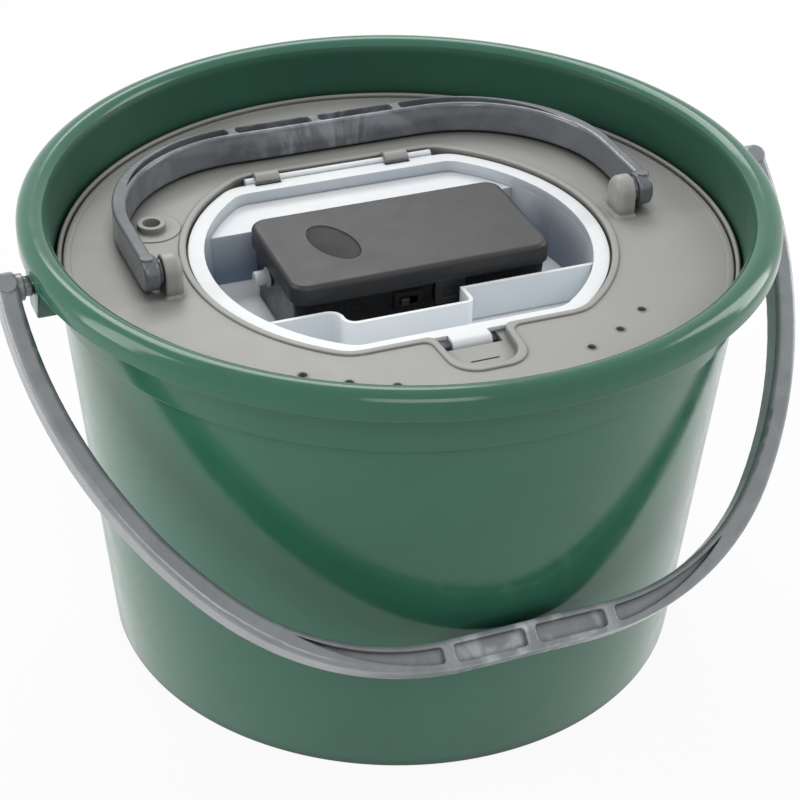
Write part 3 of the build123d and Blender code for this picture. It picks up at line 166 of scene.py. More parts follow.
# ---------------------------------------------------------------------------------------------
# The pail: one injection moulding in glossy green plastic, with a foot ring, a step where the
# wall widens to carry the basket, a rolled rim with a short skirt, and a lug under the rim at
# each side for the bail's pins. It is turned about its middle, and the lugs run into its skirt.
pail_foot = 0.1334
pail_foot_width = 0.005
pail_underside = 0.003
pail_floor = 0.0056
pail_floor_edge = pail_foot - 0.0019
pail_step = 0.1492
pail_step_height = 0.179
pail_band_height = pail_step_height + 0.0012
pail_ledge_inside = 0.14679
pail_ledge_height = 0.1812
pail_rim = 0.165
pail_rim_inside = 0.152
pail_band_inside = pail_rim_inside - 0.0022
pail_height = 0.214
pail_roll = 0.0065
pail_wall = 0.0024
pail_skirt = 0.2024
pail_slope = (pail_step - pail_foot) / pail_step_height
band_at_step = pail_rim_inside + pail_wall - pail_slope * (
    pail_height - pail_roll - pail_step_height)
lug_reach = 0.1634
lug_foot = 0.1845
lug_shoulder = 0.1984
lug_half = 0.012
lug_top = 0.2065
lug_round = 0.0008
same_place = 1e-6
smooth_up_to = math.radians(32)


def rounded(corners, steps=5):
    """The corners of a profile as (radius, height, rounding), each rounding made an arc."""
    points = []
    for i, (radius, height, rounding) in enumerate(corners):
        here = Vector((radius, height))
        if not rounding:
            points.append(here)
            continue
        before = Vector(corners[i - 1][:2])
        after = Vector(corners[(i + 1) % len(corners)][:2])
        back = (before - here).normalized()
        ahead = (after - here).normalized()
        half_angle = back.angle(ahead) / 2
        cut = rounding / math.tan(half_angle)
        centre = here + (back + ahead).normalized() * rounding / math.sin(half_angle)
        start = here + back * cut - centre
        end = here + ahead * cut - centre
        sweep = start.angle_signed(end)
        for k in range(steps + 1):
            turn = -sweep * k / steps
            points.append(centre + Matrix.Rotation(turn, 2) @ start)
    return points


def half_round(radius, height, reach, step, way=1):
    """Corners on half a circle over a point of a profile, from its outside (way 1) or inside."""
    return [(radius + way * reach * math.cos(math.radians(a)),
             height + reach * math.sin(math.radians(a)), 0) for a in range(0, 181, step)]


def turned(name, corners, turns=288):
    """A closed mesh made by turning a profile about the upright axis."""
    form = bmesh.new()
    ring = [form.verts.new((p.x, 0.0, p.y)) for p in rounded(corners)]
    edges = [form.edges.new((a, b)) for a, b in zip(ring, ring[1:] + ring[:1])
             if a.co.x > same_place or b.co.x > same_place]
    bmesh.ops.spin(form, geom=ring + edges, axis=(0, 0, 1), cent=(0, 0, 0),
                   angle=2 * math.pi, steps=turns, use_merge=True)
    bmesh.ops.remove_doubles(form, verts=form.verts, dist=same_place)
    bmesh.ops.recalc_face_normals(form, faces=form.faces)
    mesh = bpy.data.meshes.new(name)
    form.to_mesh(mesh)
    form.free()
    return mesh


def wall_middle(y, z):
    """How far out the middle of the pail's upper wall is at a place."""
    radius = band_at_step + pail_slope * (z - pail_step_height) - pail_wall / 2
    return math.sqrt(radius ** 2 - y ** 2)


def add_lug(form, side):
    """One lug on a mesh: a thick plate with sloped lower corners, its root inside the wall."""
    outline = [(-lug_half, lug_top), (-lug_half, lug_shoulder), (-lug_half / 2, lug_foot),
               (lug_half / 2, lug_foot), (lug_half, lug_shoulder), (lug_half, lug_top)]
    back = [form.verts.new((side * wall_middle(y, z), y, z)) for y, z in outline]
    front = [form.verts.new((side * lug_reach, y, z)) for y, z in outline]
    faces = [form.faces.new(back), form.faces.new(front)]
    for i in range(len(outline)):
        j = (i + 1) % len(outline)
        faces.append(form.faces.new((back[i], back[j], front[j], front[i])))
    bmesh.ops.recalc_face_normals(form, faces=faces)
    eased = [e for e in faces[1].edges if min(v.co.z for v in e.verts) < pail_skirt]
    bmesh.ops.bevel(form, geom=eased, offset=lug_round, segments=3, profile=0.5,
                    affect="EDGES")


def scaled(colour, factor):
    """A colour made darker or brighter by a factor, as far as white."""
    return tuple(min(1.0, part * factor) for part in colour)


def add_ramp(tree, *stops, interpolation="LINEAR"):
    """A colour ramp with its stops, each a place from 0 to 1 and a colour."""
    node = add_node(tree, "ShaderNodeValToRGB")
    node.color_ramp.interpolation = interpolation
    elements = node.color_ramp.elements
    for k, (spot, colour) in enumerate(stops):
        stop = elements[k] if k < 2 else elements.new(spot)
        stop.position = spot
        stop.color = (*colour, 1.0)
    return node


def add_range(tree, low, high, at_low, at_high, **settings):
    """A node that maps the values from low to high onto those from at_low to at_high."""
    return add_node(tree, "ShaderNodeMapRange", From_Min=low, From_Max=high,
                    To_Min=at_low, To_Max=at_high, **settings)


def ease_and_raise(tree, shader, edge, height, strength, depth):
    """Eases a piece's edges by a radius and raises a fine relief on its faces."""
    eased = add_node(tree, "ShaderNodeBevel", samples=4, Radius=edge)
    relief = add_node(tree, "ShaderNodeBump", Strength=strength, Distance=depth)
    link(tree,
         (height, relief.inputs["Height"]),
         (eased.outputs["Normal"], relief.inputs["Normal"]),
         (relief.outputs["Normal"], shader.inputs["Normal"]))


def moulded(name, colour, rough, specular=0.5, drift=0.05, grain=0.1, grain_size=400.0,
            edge=0.0004, crease_shade_reach=0.006):
    """Moulded plastic, whose colour drifts, is darkened by painted shade in grooves and corners,
    and whose scuffs are dull.
    """
    material, tree, shader = new_material(name)
    set_up(shader, Specular_IOR_Level=specular)
    place = add_node(tree, "ShaderNodeTexCoord")
    flow = add_node(tree, "ShaderNodeTexNoise", Scale=9.0, Detail=5.0, Distortion=1.6)
    shades = add_ramp(tree, (0.3, scaled(colour, 1 - drift)), (0.7, scaled(colour, 1 + drift)))
    # An ambient occlusion node darkens the colour in grooves and corners: painted shade.
    painted_crease_shade = add_node(tree, "ShaderNodeAmbientOcclusion", name="painted_crease_shade", samples=4,
                       Distance=crease_shade_reach)
    scuffs = add_node(tree, "ShaderNodeTexNoise", Scale=70.0, Detail=8.0, Roughness=0.72)
    dullness = add_range(tree, 0.3, 0.75, max(0.03, rough - 0.04), rough + 0.1)
    skin = add_node(tree, "ShaderNodeTexNoise", Scale=grain_size, Detail=3.0)
    link(tree,
         *[(place.outputs["Object"], noise.inputs["Vector"]) for noise in (flow, scuffs, skin)],
         (flow.outputs["Fac"], shades.inputs["Fac"]),
         (shades.outputs["Color"], painted_crease_shade.inputs["Color"]),
         (painted_crease_shade.outputs["Color"], shader.inputs["Base Color"]),
         (scuffs.outputs["Fac"], dullness.inputs["Value"]),
         (dullness.outputs["Result"], shader.inputs["Roughness"]))
    ease_and_raise(tree, shader, edge, skin.outputs["Fac"], grain, 0.0003)
    return material


def paint(node, material):
    """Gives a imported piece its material."""
    mesh = nodes[node].data
    mesh.materials.clear()
    mesh.materials.append(material)


def fit(name, mesh, material, body, slot, *stands_for):
    """Makes a mesh a piece that moves with a body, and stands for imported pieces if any."""
    mesh.materials.clear()
    mesh.materials.append(material)
    for face in mesh.polygons:
        face.use_smooth = True
    mesh.set_sharp_from_angle(angle=smooth_up_to)
    piece = bpy.data.objects.new(name, mesh)
    bpy.context.scene.collection.objects.link(piece)
    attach(piece, body)
    if stands_for:
        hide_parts(*stands_for)


roll_middle = pail_rim - pail_roll
roll_height = pail_height - pail_roll
pail_profile = [
    (0.0, pail_underside, 0),
    (pail_foot - pail_foot_width, pail_underside, 0.0004),
    (pail_foot - pail_foot_width, 0.0, 0.0004),
    (pail_foot, 0.0, 0.0015),
    (pail_step, pail_step_height, 0.0005),
    (band_at_step, pail_band_height, 0.0008),
    *half_round(roll_middle, roll_height, pail_roll - pail_wall, 15, -1),
    (pail_rim - pail_wall, pail_skirt, 0.0006),
    (pail_rim, pail_skirt, 0.0007),
    *half_round(roll_middle, roll_height, pail_roll, 9),
    (pail_band_inside, pail_ledge_height, 0.0008),
    (pail_ledge_inside, pail_ledge_height, 0.0006),
    (pail_floor_edge, pail_floor, 0.003),
    (0.0, pail_floor, 0)]
pail_mesh = turned("green_pail", pail_profile)
pail_form = bmesh.new()
pail_form.from_mesh(pail_mesh)
for lug_side in (-1, 1):
    add_lug(pail_form, lug_side)
pail_form.to_mesh(pail_mesh)
pail_form.free()
glossy_green = moulded("glossy_green", (0.032, 0.148, 0.093), rough=0.13, specular=0.42,
                       drift=0.06, grain=0.06, grain_size=55.0)
# The inside gets a darker, duller copy of the same green: painted shade.
painted_shade_green = moulded("painted_shade_green", (0.028, 0.095, 0.064), rough=0.42, specular=0.2,
                      drift=0.06, grain_size=90.0)
fit("green_pail", pail_mesh, glossy_green, "bucket", "green_plastic", "outer_bucket")
# Faces inside the pail's hollow take that darker copy, which is painted shade.
pail_mesh.materials.append(painted_shade_green)
for face in pail_mesh.polygons:
    inward = face.normal.x * face.center.x + face.normal.y * face.center.y < 0
    hollow = pail_rim_inside + pail_wall / 2 > math.hypot(face.center.x, face.center.y)
    if inward and hollow:
        face.material_index = 1

# ---------------------------------------------------------------------------------------------
# The bail: a U moulded in pearl grey plastic, hollowed out along its grip between four ribs to
# save material. Its pins snap into the pail's lugs. The pearl pigment shows as swirls where the
# plastic met round the ribs, and a painted sheen brightens them near the grip's middle.
painted_sheen_near = 0.014
painted_sheen_far = 0.05
painted_sheen_most = 0.75
painted_sheen_gain = 2.1


def pearl(name, dark, bright):
    """Pearl grey plastic, whose flakes lie in swirls, brightened by a painted sheen near the
    grip's middle.
    """
    material = moulded(name, dark, rough=0.15, specular=0.55, grain=0.05, grain_size=300.0,
                       edge=0.0011, crease_shade_reach=0.0025)
    tree = material.node_tree
    set_up(tree.nodes["Principled BSDF"], Metallic=0.12)
    place = add_node(tree, "ShaderNodeTexCoord")
    swirls = add_node(tree, "ShaderNodeTexNoise", Scale=26.0, Detail=3.0, Distortion=3.2)
    flakes = add_node(tree, "ShaderNodeTexVoronoi", Scale=3800.0)
    pearls = add_ramp(tree, (0.36, dark), (0.62, bright))
    spot = add_node(tree, "ShaderNodeSeparateXYZ")
    off_middle = add_node(tree, "ShaderNodeMath", operation="ABSOLUTE")
    # Near the grip's middle the brightest swirls are mixed toward a colour brighter than the
    # plastic: a painted sheen.
    near = add_range(tree, painted_sheen_near, painted_sheen_far, painted_sheen_most, 0.0,
                     interpolation_type="SMOOTHSTEP")
    sheen = add_range(tree, 0.5, 0.68, 0.0, 1.0)
    share = add_node(tree, "ShaderNodeMath", operation="MULTIPLY")
    painted_sheen_mix = add_node(tree, "ShaderNodeMix", data_type="RGBA",
                     B=(*scaled(bright, painted_sheen_gain), 1.0))
    spark = add_node(tree, "ShaderNodeMix", data_type="RGBA", blend_type="OVERLAY", Factor=0.05)
    link(tree,
         *[(place.outputs["Object"], node.inputs["Vector"]) for node in (swirls, flakes, spot)],
         (swirls.outputs["Fac"], pearls.inputs["Fac"]),
         (spot.outputs["X"], off_middle.inputs[0]),
         (off_middle.outputs[0], near.inputs["Value"]),
         (swirls.outputs["Fac"], sheen.inputs["Value"]),
         (near.outputs["Result"], share.inputs[0]),
         (sheen.outputs["Result"], share.inputs[1]),
         (share.outputs[0], painted_sheen_mix.inputs["Factor"]),
         (pearls.outputs["Color"], painted_sheen_mix.inputs["A"]),
         (painted_sheen_mix.outputs["Result"], spark.inputs["A"]),
         (flakes.outputs["Color"], spark.inputs["B"]),
         (spark.outputs["Result"], tree.nodes["painted_crease_shade"].inputs["Color"]))
    return material


paint("outer_bail", pearl("pearl_grey", (0.25, 0.266, 0.282), (0.295, 0.312, 0.328)))

# ---------------------------------------------------------------------------------------------
# The basket: a perforated tub in warm grey plastic that hangs on the pail's ledge. All that
# shows of it round the lid is its full-round bead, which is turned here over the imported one.
bead_inside = 0.14705
bead_outside = 0.14931
bead_top = 0.18818
bead_half = (bead_outside - bead_inside) / 2
bead_middle = (bead_outside + bead_inside) / 2
seam_foot = 0.1846
seam_turns = 320
bead_mesh = turned("basket_bead", [
    (bead_inside, seam_foot, 0), (bead_outside, seam_foot, 0),
    *half_round(bead_middle, bead_top - bead_half, bead_half, 12)], seam_turns)
warm_grey = moulded("warm_grey", (0.33, 0.328, 0.31), rough=0.42, specular=0.4, drift=0.04,
                    grain=0.14, grain_size=900.0, edge=0.0003)
paint("bait_basket", warm_grey)
fit("basket_bead", bead_mesh, warm_grey, "basket", "basket_plastic")

# ---------------------------------------------------------------------------------------------
# The lid: a warm grey disc with a sunk seat for the tray, a finger scoop, two hinge clips, two
# ears for its handle and a collared bushing for an air hose. Its rim is turned over the packed
# edge, and the six air vents have a small raised ring where the mould's pins shut off.
lid_edge = 0.14656
lid_edge_inside = lid_edge - 0.0034
lid_face = 0.1865
lid_rim_top = lid_face + 0.00012
lid_rim_mesh = turned("lid_rim", [
    (lid_edge_inside, seam_foot, 0), (lid_edge, seam_foot, 0),
    (lid_edge, lid_rim_top, 0.0007), (lid_edge_inside, lid_rim_top, 0.0001)], seam_turns)
lid_grey = moulded("lid_grey", (0.36, 0.356, 0.338), rough=0.38, specular=0.42, grain=0.16,
                   grain_size=1100.0, edge=0.0008)
paint("basket_lid", lid_grey)
fit("lid_rim", lid_rim_mesh, lid_grey, "lid", "lid_plastic")


def socket_of(tree, label):
    """The identifier of a geometry tree's input, found by the name that it was given."""
    return next(item.identifier for item in tree.interface.items_tree
                if item.item_type == "SOCKET" and item.name == label)


def repeated(name, tree, places, sizes):
    """A plain mesh of what a geometry tree sets at each place, with its sizes by name."""
    seed = bpy.data.meshes.new(name + "_places")
    seed.from_pydata(places, [], [])
    holder = bpy.data.objects.new(name + "_places", seed)
    bpy.context.scene.collection.objects.link(holder)
    maker = holder.modifiers.new("maker", "NODES")
    maker.node_group = tree
    for label, value in sizes.items():
        maker[socket_of(tree, label)] = value
    ready = bpy.context.evaluated_depsgraph_get()
    mesh = bpy.data.meshes.new_from_object(holder.evaluated_get(ready))
    holder.modifiers.remove(maker)
    bpy.data.objects.remove(holder)
    mesh.name = name
    return mesh


def geometry_tree(name, sizes, material):
    """A new geometry tree, the sizes given to it, and the inputs of the node that repeats."""
    tree = bpy.data.node_groups.new(name, "GeometryNodeTree")
    tree.interface.new_socket("Geometry", in_out="INPUT", socket_type="NodeSocketGeometry")
    for label, value in sizes.items():
        kind = "NodeSocketVector" if isinstance(value, tuple) else "NodeSocketFloat"
        tree.interface.new_socket(label, in_out="INPUT", socket_type=kind).default_value = value
    tree.interface.new_socket("Geometry", in_out="OUTPUT", socket_type="NodeSocketGeometry")
    given = add_node(tree, "NodeGroupInput")
    result = add_node(tree, "NodeGroupOutput")
    spread = add_node(tree, "GeometryNodeInstanceOnPoints")
    solid = add_node(tree, "GeometryNodeRealizeInstances")
    painted = add_node(tree, "GeometryNodeSetMaterial", Material=material)
    link(tree,
         (given.outputs["Geometry"], spread.inputs["Points"]),
         (spread.outputs["Instances"], solid.inputs["Geometry"]),
         (solid.outputs["Geometry"], painted.inputs["Geometry"]),
         (painted.outputs["Geometry"], result.inputs["Geometry"]))
    return tree, given.outputs, spread.inputs


def tree_math(tree, operation, first, second):
    """One sum on two sockets or numbers of a geometry tree."""
    sum_node = add_node(tree, "ShaderNodeMath", operation=operation)
    for side, value in enumerate((first, second)):
        if isinstance(value, float):
            sum_node.inputs[side].default_value = value
        else:
            tree.links.new(value, sum_node.inputs[side])
    return sum_node.outputs[0]


vent_circle = 0.115
vent_angles = (21.7, 31.3, 40.9)
vent_sizes = {"bore": 0.0018, "band": 0.0004, "proud": 0.00025}
vent_tree, vent_given, vent_spread = geometry_tree("vent_rings", vent_sizes, lid_grey)
vent_path = add_node(vent_tree, "GeometryNodeCurvePrimitiveCircle", Resolution=32)
vent_section = add_node(vent_tree, "GeometryNodeCurvePrimitiveCircle", Resolution=10)
vent_sweep = add_node(vent_tree, "GeometryNodeCurveToMesh")
vent_flatten = add_node(vent_tree, "GeometryNodeTransform")
vent_scale = add_node(vent_tree, "ShaderNodeCombineXYZ", X=1.0, Y=1.0)
vent_middle = tree_math(vent_tree, "ADD", vent_given["bore"], vent_given["band"])
vent_ratio = tree_math(vent_tree, "DIVIDE", vent_given["proud"], vent_given["band"])
link(vent_tree,
     (vent_middle, vent_path.inputs["Radius"]),
     (vent_given["band"], vent_section.inputs["Radius"]),
     (vent_path.outputs["Curve"], vent_sweep.inputs["Curve"]),
     (vent_section.outputs["Curve"], vent_sweep.inputs["Profile Curve"]),
     (vent_sweep.outputs["Mesh"], vent_flatten.inputs["Geometry"]),
     (vent_ratio, vent_scale.inputs["Z"]),
     (vent_scale.outputs["Vector"], vent_flatten.inputs["Scale"]),
     (vent_flatten.outputs["Geometry"], vent_spread["Instance"]))
vent_places = [(side * vent_circle * math.sin(math.radians(a)),
                -vent_circle * math.cos(math.radians(a)), lid_face)
               for side in (-1, 1) for a in vent_angles]
vent_mesh = repeated("vent_rings", vent_tree, vent_places, vent_sizes)
fit("vent_rings", vent_mesh, lid_grey, "lid", "lid_plastic")

# ---------------------------------------------------------------------------------------------
# The lid's carrying handle: a smaller U in a deeper pearl grey, with deep pockets in its top
# face. Its pins snap into the lid's ears.
paint("lid_handle", pearl("deep_pearl_grey", (0.135, 0.147, 0.163), (0.17, 0.184, 0.2)))

# ---------------------------------------------------------------------------------------------
# The tray: a thin shell of cloudy polypropylene with a cold white cast, which scatters the light
# that enters it. Its upright walls carry painted shade for the dark pump behind them, most of all
# low in the well, and much less in front of the divider.
well_low = 0.16
well_high = 0.182
well_shade_low = 0.95
well_shade_high = 0.45
divider_front = -0.045
divider_back = -0.015
well_shade_in_front = 0.28


def milky(name, colour, well_shade_colour):
    """Cloudy plastic, whose upright walls get painted shade in the well."""
    material = moulded(name, colour, rough=0.3, specular=0.45, drift=0.04, grain=0.12,
                       grain_size=240.0, crease_shade_reach=0.0012)
    tree = material.node_tree
    shader = set_up(tree.nodes["Principled BSDF"], IOR=1.49, Subsurface_Weight=0.25,
                    Subsurface_Radius=(0.006, 0.0065, 0.007), Subsurface_Scale=1.0)
    place = add_node(tree, "ShaderNodeTexCoord")
    spot = add_node(tree, "ShaderNodeSeparateXYZ")
    lean = add_node(tree, "ShaderNodeSeparateXYZ")
    # The upright walls darken low in the well and behind the divider: painted shade.
    depth = add_range(tree, well_low, well_high, well_shade_low, well_shade_high)
    inside = add_range(tree, divider_front, divider_back, well_shade_in_front, 1.0)
    well = add_node(tree, "ShaderNodeMath", operation="MULTIPLY")
    level = add_node(tree, "ShaderNodeMath", operation="ABSOLUTE")
    upright = add_node(tree, "ShaderNodeMath", operation="SUBTRACT")
    upright.inputs[0].default_value = 1.0
    shade = add_node(tree, "ShaderNodeMath", operation="MULTIPLY")
    painted_well_shade = add_node(tree, "ShaderNodeMix", data_type="RGBA", B=(*well_shade_colour, 1.0))
    link(tree,
         (place.outputs["Object"], spot.inputs["Vector"]),
         (place.outputs["Normal"], lean.inputs["Vector"]),
         (spot.outputs["Z"], depth.inputs["Value"]),
         (spot.outputs["Y"], inside.inputs["Value"]),
         (lean.outputs["Z"], level.inputs[0]),
         (level.outputs[0], upright.inputs[1]),
         (depth.outputs["Result"], well.inputs[0]),
         (inside.outputs["Result"], well.inputs[1]),
         (well.outputs[0], shade.inputs[0]),
         (upright.outputs[0], shade.inputs[1]),
         (shade.outputs[0], painted_well_shade.inputs["Factor"]),
         (tree.nodes["painted_crease_shade"].outputs["Color"], painted_well_shade.inputs["A"]),
         (painted_well_shade.outputs["Result"], shader.inputs["Base Color"]))
    return material


paint("pump_door", milky("cloudy_white", (0.92, 0.96, 1.0), (0.11, 0.17, 0.25)))

# ---------------------------------------------------------------------------------------------
# The pump's housing: a drafted black box, gloss from a polished mould, with the rubber ring
# that seals its cover lying in its mouth.
paint("pump_case", moulded("gloss_black", (0.009, 0.009, 0.01), rough=0.24, specular=0.3,
                           drift=0.15, grain=0.08, grain_size=500.0))


def rubber(name, colour, rough=0.62):
    """Moulded rubber with a dry, faintly mottled skin."""
    return moulded(name, colour, rough, specular=0.3, drift=0.14, grain=0.35,
                   grain_size=1600.0, edge=0.0002)


paint("cover_gasket", rubber("black_rubber", (0.018, 0.018, 0.018)))

# ---------------------------------------------------------------------------------------------
# Two C cells lie side by side in the housing. Each is a plated can in a plain printed jacket
# that stops short of its ends, held between sprung strips of plated steel.


def plated(name, colour, rough, along=(1.0, 1.0, 1.0)):
    """Bare metal with fine lines left along one direction and cloudy handling marks."""
    material, tree, shader = new_material(name)
    set_up(shader, Metallic=1.0)
    place = add_node(tree, "ShaderNodeTexCoord")
    stretch = add_node(tree, "ShaderNodeMapping", Scale=along)
    lines = add_node(tree, "ShaderNodeTexNoise", Scale=900.0, Detail=4.0, Roughness=0.65)
    marks = add_node(tree, "ShaderNodeTexNoise", Scale=120.0, Detail=5.0)
    tints = add_ramp(tree, (0.35, scaled(colour, 0.86)), (0.7, colour))
    polish = add_range(tree, 0.0, 1.0, max(0.05, rough - 0.08), rough + 0.14)
    link(tree,
         (place.outputs["Object"], stretch.inputs["Vector"]),
         (stretch.outputs["Vector"], lines.inputs["Vector"]),
         (place.outputs["Object"], marks.inputs["Vector"]),
         (marks.outputs["Fac"], tints.inputs["Fac"]),
         (tints.outputs["Color"], shader.inputs["Base Color"]),
         (lines.outputs["Fac"], polish.inputs["Value"]),
         (polish.outputs["Result"], shader.inputs["Roughness"]))
    ease_and_raise(tree, shader, 0.0002, lines.outputs["Fac"], 0.12, 0.0001)
    return material


def banded(material, axis, end, *bands):
    """Colours a material in bands along an axis, each a start in metres, a colour and a metal."""
    tree = material.node_tree
    shader = tree.nodes["Principled BSDF"]
    first = bands[0][0]
    starts = [(start - first) / (end - first) for start, _, _ in bands]
    place = add_node(tree, "ShaderNodeTexCoord")
    split = add_node(tree, "ShaderNodeSeparateXYZ")
    share = add_range(tree, first, end, 0.0, 1.0)
    colours = add_ramp(tree, *[(spot, band[1]) for spot, band in zip(starts, bands)],
                       interpolation="CONSTANT")
    metals = add_ramp(tree, *[(spot, (band[2],) * 3) for spot, band in zip(starts, bands)],
                      interpolation="CONSTANT")
    link(tree,
         (place.outputs["Object"], split.inputs["Vector"]),
         (split.outputs[axis], share.inputs["Value"]),
         (share.outputs["Result"], colours.inputs["Fac"]),
         (share.outputs["Result"], metals.inputs["Fac"]),
         (colours.outputs["Color"], shader.inputs["Base Color"]),
         (metals.outputs["Color"], shader.inputs["Metallic"]))
    return material


bare_steel = (0.62, 0.6, 0.56)
jacket_blue = (0.06, 0.085, 0.13)
jacket_copper = (0.55, 0.3, 0.09)
cell_left = 0.0026
cell_right = 0.0538
cell_cap = 0.0032
copper_width = 0.014
cell_jacket = banded(plated("cell_jacket", bare_steel, 0.26), "X", cell_right,
                     (cell_left, bare_steel, 1.0),
                     (cell_left + cell_cap, jacket_blue, 0.0),
                     (cell_right - copper_width, jacket_copper, 0.6),
                     (cell_right - cell_cap, bare_steel, 1.0))
contact_strip = plated("contact_strip", (0.66, 0.63, 0.56), 0.3, (1.0, 0.08, 1.0))
for cell in ("battery_1", "battery_2"):
    paint(cell, cell_jacket)
for strip in ("leaf_contacts", "contact_bridge"):
    paint(strip, contact_strip)

# ---------------------------------------------------------------------------------------------
# The motor: a flat-sided plated can closed by a dark plastic end, on a rib in the housing. Its
# ground shaft turns a white crank wheel, whose pin works the connecting rod.
can_steel = (0.56, 0.56, 0.55)
end_black = (0.02, 0.02, 0.022)
motor_can = banded(plated("motor_can", can_steel, 0.3, (1.0, 0.1, 1.0)), "Y", 0.026,
                   (-0.001, bare_steel, 1.0), (0.0006, can_steel, 1.0),
                   (0.0215, end_black, 0.0))
paint("motor", motor_can)
paint("motor_shaft", plated("shaft_steel", (0.66, 0.66, 0.66), 0.16, (1.0, 0.05, 1.0)))
white_acetal = moulded("white_acetal", (0.72, 0.71, 0.67), rough=0.34, drift=0.04,
                       grain_size=900.0, edge=0.0002)
for crank_piece in ("crank_wheel", "connecting_rod"):
    paint(crank_piece, white_acetal)

# ---------------------------------------------------------------------------------------------
# The air head: a grey chamber and its front plate with a rubber diaphragm clamped between them.
# A soft tube takes the air round to the white nozzle in the housing's left end.
head_grey = moulded("head_grey", (0.3, 0.31, 0.33), rough=0.4, specular=0.4, drift=0.06,
                    grain=0.2, grain_size=1200.0, edge=0.0002)
for head_piece in ("pump_head", "head_cap"):
    paint(head_piece, head_grey)
paint("diaphragm", rubber("diaphragm_rubber", (0.028, 0.028, 0.028)))
paint("outlet_tube", rubber("pale_tube", (0.5, 0.5, 0.45), rough=0.4))
paint("air_nozzle", moulded("nozzle_white", (0.6, 0.62, 0.62), rough=0.26, drift=0.03,
                            grain=0.08, grain_size=700.0))

# ---------------------------------------------------------------------------------------------
# A steel strap holds the motor down with two screws, and four more close the air head. They are
# slotted cap screws of plated steel, all of one kind, set by one geometry tree.
paint("motor_clamp", plated("strap_steel", (0.55, 0.55, 0.54), 0.32, (0.1, 1.0, 1.0)))
screw_steel = plated("screw_steel", (0.58, 0.57, 0.53), 0.26)
screw_radius = 0.0017
screw_rise = 0.0012
screw_sizes = {"head radius": screw_radius, "head height": screw_rise, "shank radius": 0.0009,
               "shank length": 0.004, "slot width": 0.00045, "turn": (0.0, 0.0, 0.0)}
screw_tree, screw_given, screw_spread = geometry_tree("cap_screws", screw_sizes, screw_steel)


def raised(tree, form, height):
    """What a form's node makes, moved up by a socket."""
    offset = add_node(tree, "ShaderNodeCombineXYZ")
    shift = add_node(tree, "GeometryNodeTransform")
    link(tree,
         (height, offset.inputs["Z"]),
         (offset.outputs["Vector"], shift.inputs["Translation"]),
         (form.outputs["Mesh"], shift.inputs["Geometry"]))
    return shift.outputs["Geometry"]


head_form = add_node(screw_tree, "GeometryNodeMeshCylinder", Vertices=32)
shank_form = add_node(screw_tree, "GeometryNodeMeshCylinder", Vertices=20)
slot_form = add_node(screw_tree, "GeometryNodeMeshCube")
slot_size = add_node(screw_tree, "ShaderNodeCombineXYZ")
screw_cut = add_node(screw_tree, "GeometryNodeMeshBoolean", operation="DIFFERENCE")
screw_join = add_node(screw_tree, "GeometryNodeJoinGeometry")
screw_turn = add_node(screw_tree, "FunctionNodeEulerToRotation")
head_middle = tree_math(screw_tree, "MULTIPLY", screw_given["head height"], 0.5)
shank_middle = tree_math(screw_tree, "MULTIPLY", screw_given["shank length"], -0.5)
slot_length = tree_math(screw_tree, "MULTIPLY", screw_given["head radius"], 3.0)
link(screw_tree,
     (screw_given["head radius"], head_form.inputs["Radius"]),
     (screw_given["head height"], head_form.inputs["Depth"]),
     (screw_given["shank radius"], shank_form.inputs["Radius"]),
     (screw_given["shank length"], shank_form.inputs["Depth"]),
     (slot_length, slot_size.inputs["X"]),
     (screw_given["slot width"], slot_size.inputs["Y"]),
     (screw_given["head height"], slot_size.inputs["Z"]),
     (slot_size.outputs["Vector"], slot_form.inputs["Size"]),
     (raised(screw_tree, head_form, head_middle), screw_cut.inputs["Mesh 1"]),
     (raised(screw_tree, slot_form, screw_given["head height"]), screw_cut.inputs["Mesh 2"]),
     (screw_cut.outputs["Mesh"], screw_join.inputs["Geometry"]),
     (raised(screw_tree, shank_form, shank_middle), screw_join.inputs["Geometry"]),
     (screw_join.outputs["Geometry"], screw_spread["Instance"]),
     (screw_given["turn"], screw_turn.inputs["Euler"]),
     (screw_turn.outputs["Rotation"], screw_spread["Rotation"]))

clamp_low, clamp_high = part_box("clamp_screws")
clamp_seat = clamp_high[2] - screw_rise
clamp_row = (clamp_low[1] + clamp_high[1]) / 2
clamp_places = [(clamp_low[0] + screw_radius, clamp_row, clamp_seat),
                (clamp_high[0] - screw_radius, clamp_row, clamp_seat)]
clamp_mesh = repeated("strap_screws", screw_tree, clamp_places, screw_sizes)
fit("strap_screws", clamp_mesh, screw_steel, "pump", "screw_steel", "clamp_screws")
head_low, head_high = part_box("head_screws")
head_seat = head_high[0] - screw_rise
head_places = [(head_seat, y, z)
               for y in (head_low[1] + screw_radius, head_high[1] - screw_radius)
               for z in (head_low[2] + screw_radius, head_high[2] - screw_radius)]
head_sizes = {**screw_sizes, "shank length": 0.005, "turn": (0.0, math.radians(90), 0.0)}
head_mesh = repeated("air_head_screws", screw_tree, head_places, head_sizes)
fit("air_head_screws", head_mesh, screw_steel, "pump", "screw_steel", "head_screws")

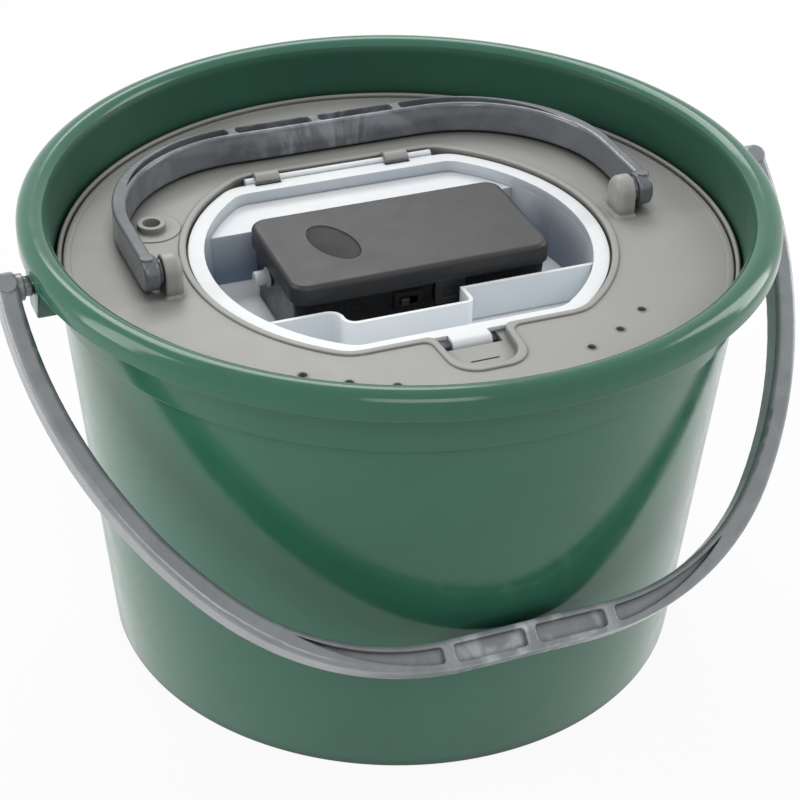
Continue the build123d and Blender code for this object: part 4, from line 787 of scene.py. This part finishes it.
# ---------------------------------------------------------------------------------------------
# The switch: a black knob that slides in a bezel moulded into the housing's front, low behind
# the tray's divider.
paint("power_switch", moulded("switch_black", (0.02, 0.02, 0.022), rough=0.38, specular=0.4,
                              drift=0.1, grain=0.3, grain_size=1400.0, edge=0.0002))

# ---------------------------------------------------------------------------------------------
# The pump's cover: satin black with a fine spark-eroded grain, a spring latch at its front, and
# a sunk oval that holds a bare, duller oval plate with a raised lip. The plate's rings are
# given from its foot over the lip to its middle, as a share of its half size and a rise.
paint("pump_cover", moulded("satin_black", (0.022, 0.022, 0.024), rough=0.4, specular=0.45,
                            drift=0.1, grain=0.2, grain_size=1700.0, edge=0.0008))
plate_middle = (-0.0294, 0.0036)
plate_half = (0.0089, 0.0162)
plate_tilt = math.radians(14)
plate_foot = 0.1899
plate_face = 0.00028
plate_stations = [(1.0, 0.0), (1.0, 0.00038), (0.975, 0.00048), (0.94, 0.00048),
                  (0.92, 0.00034), (0.9, plate_face), (0.45, plate_face), (0.0, plate_face)]
plate_turns = 96
plate_form = bmesh.new()
plate_rings = []
for share, rise in plate_stations:
    ring = []
    for k in range(plate_turns if share else 1):
        turn = 2 * math.pi * k / plate_turns
        along = plate_half[0] * share * math.cos(turn)
        across = plate_half[1] * share * math.sin(turn)
        ring.append(plate_form.verts.new((
            plate_middle[0] + along * math.cos(plate_tilt) - across * math.sin(plate_tilt),
            plate_middle[1] + along * math.sin(plate_tilt) + across * math.cos(plate_tilt),
            plate_foot + rise)))
    plate_rings.append(ring)
for lower, upper in zip(plate_rings, plate_rings[1:]):
    for k in range(plate_turns):
        j = (k + 1) % plate_turns
        if len(upper) == 1:
            plate_form.faces.new((lower[k], lower[j], upper[0]))
        else:
            plate_form.faces.new((lower[k], lower[j], upper[j], upper[k]))
plate_form.faces.new(list(reversed(plate_rings[0])))
bmesh.ops.recalc_face_normals(plate_form, faces=plate_form.faces)
plate_mesh = bpy.data.meshes.new("oval_plate")
plate_form.to_mesh(plate_mesh)
plate_form.free()
dull_black = moulded("dull_black", (0.011, 0.011, 0.012), rough=0.5, specular=0.25, drift=0.2,
                     grain=0.25, grain_size=1500.0, edge=0.0002)
fit("oval_plate", plate_mesh, dull_black, "cover", "cover_plastic")
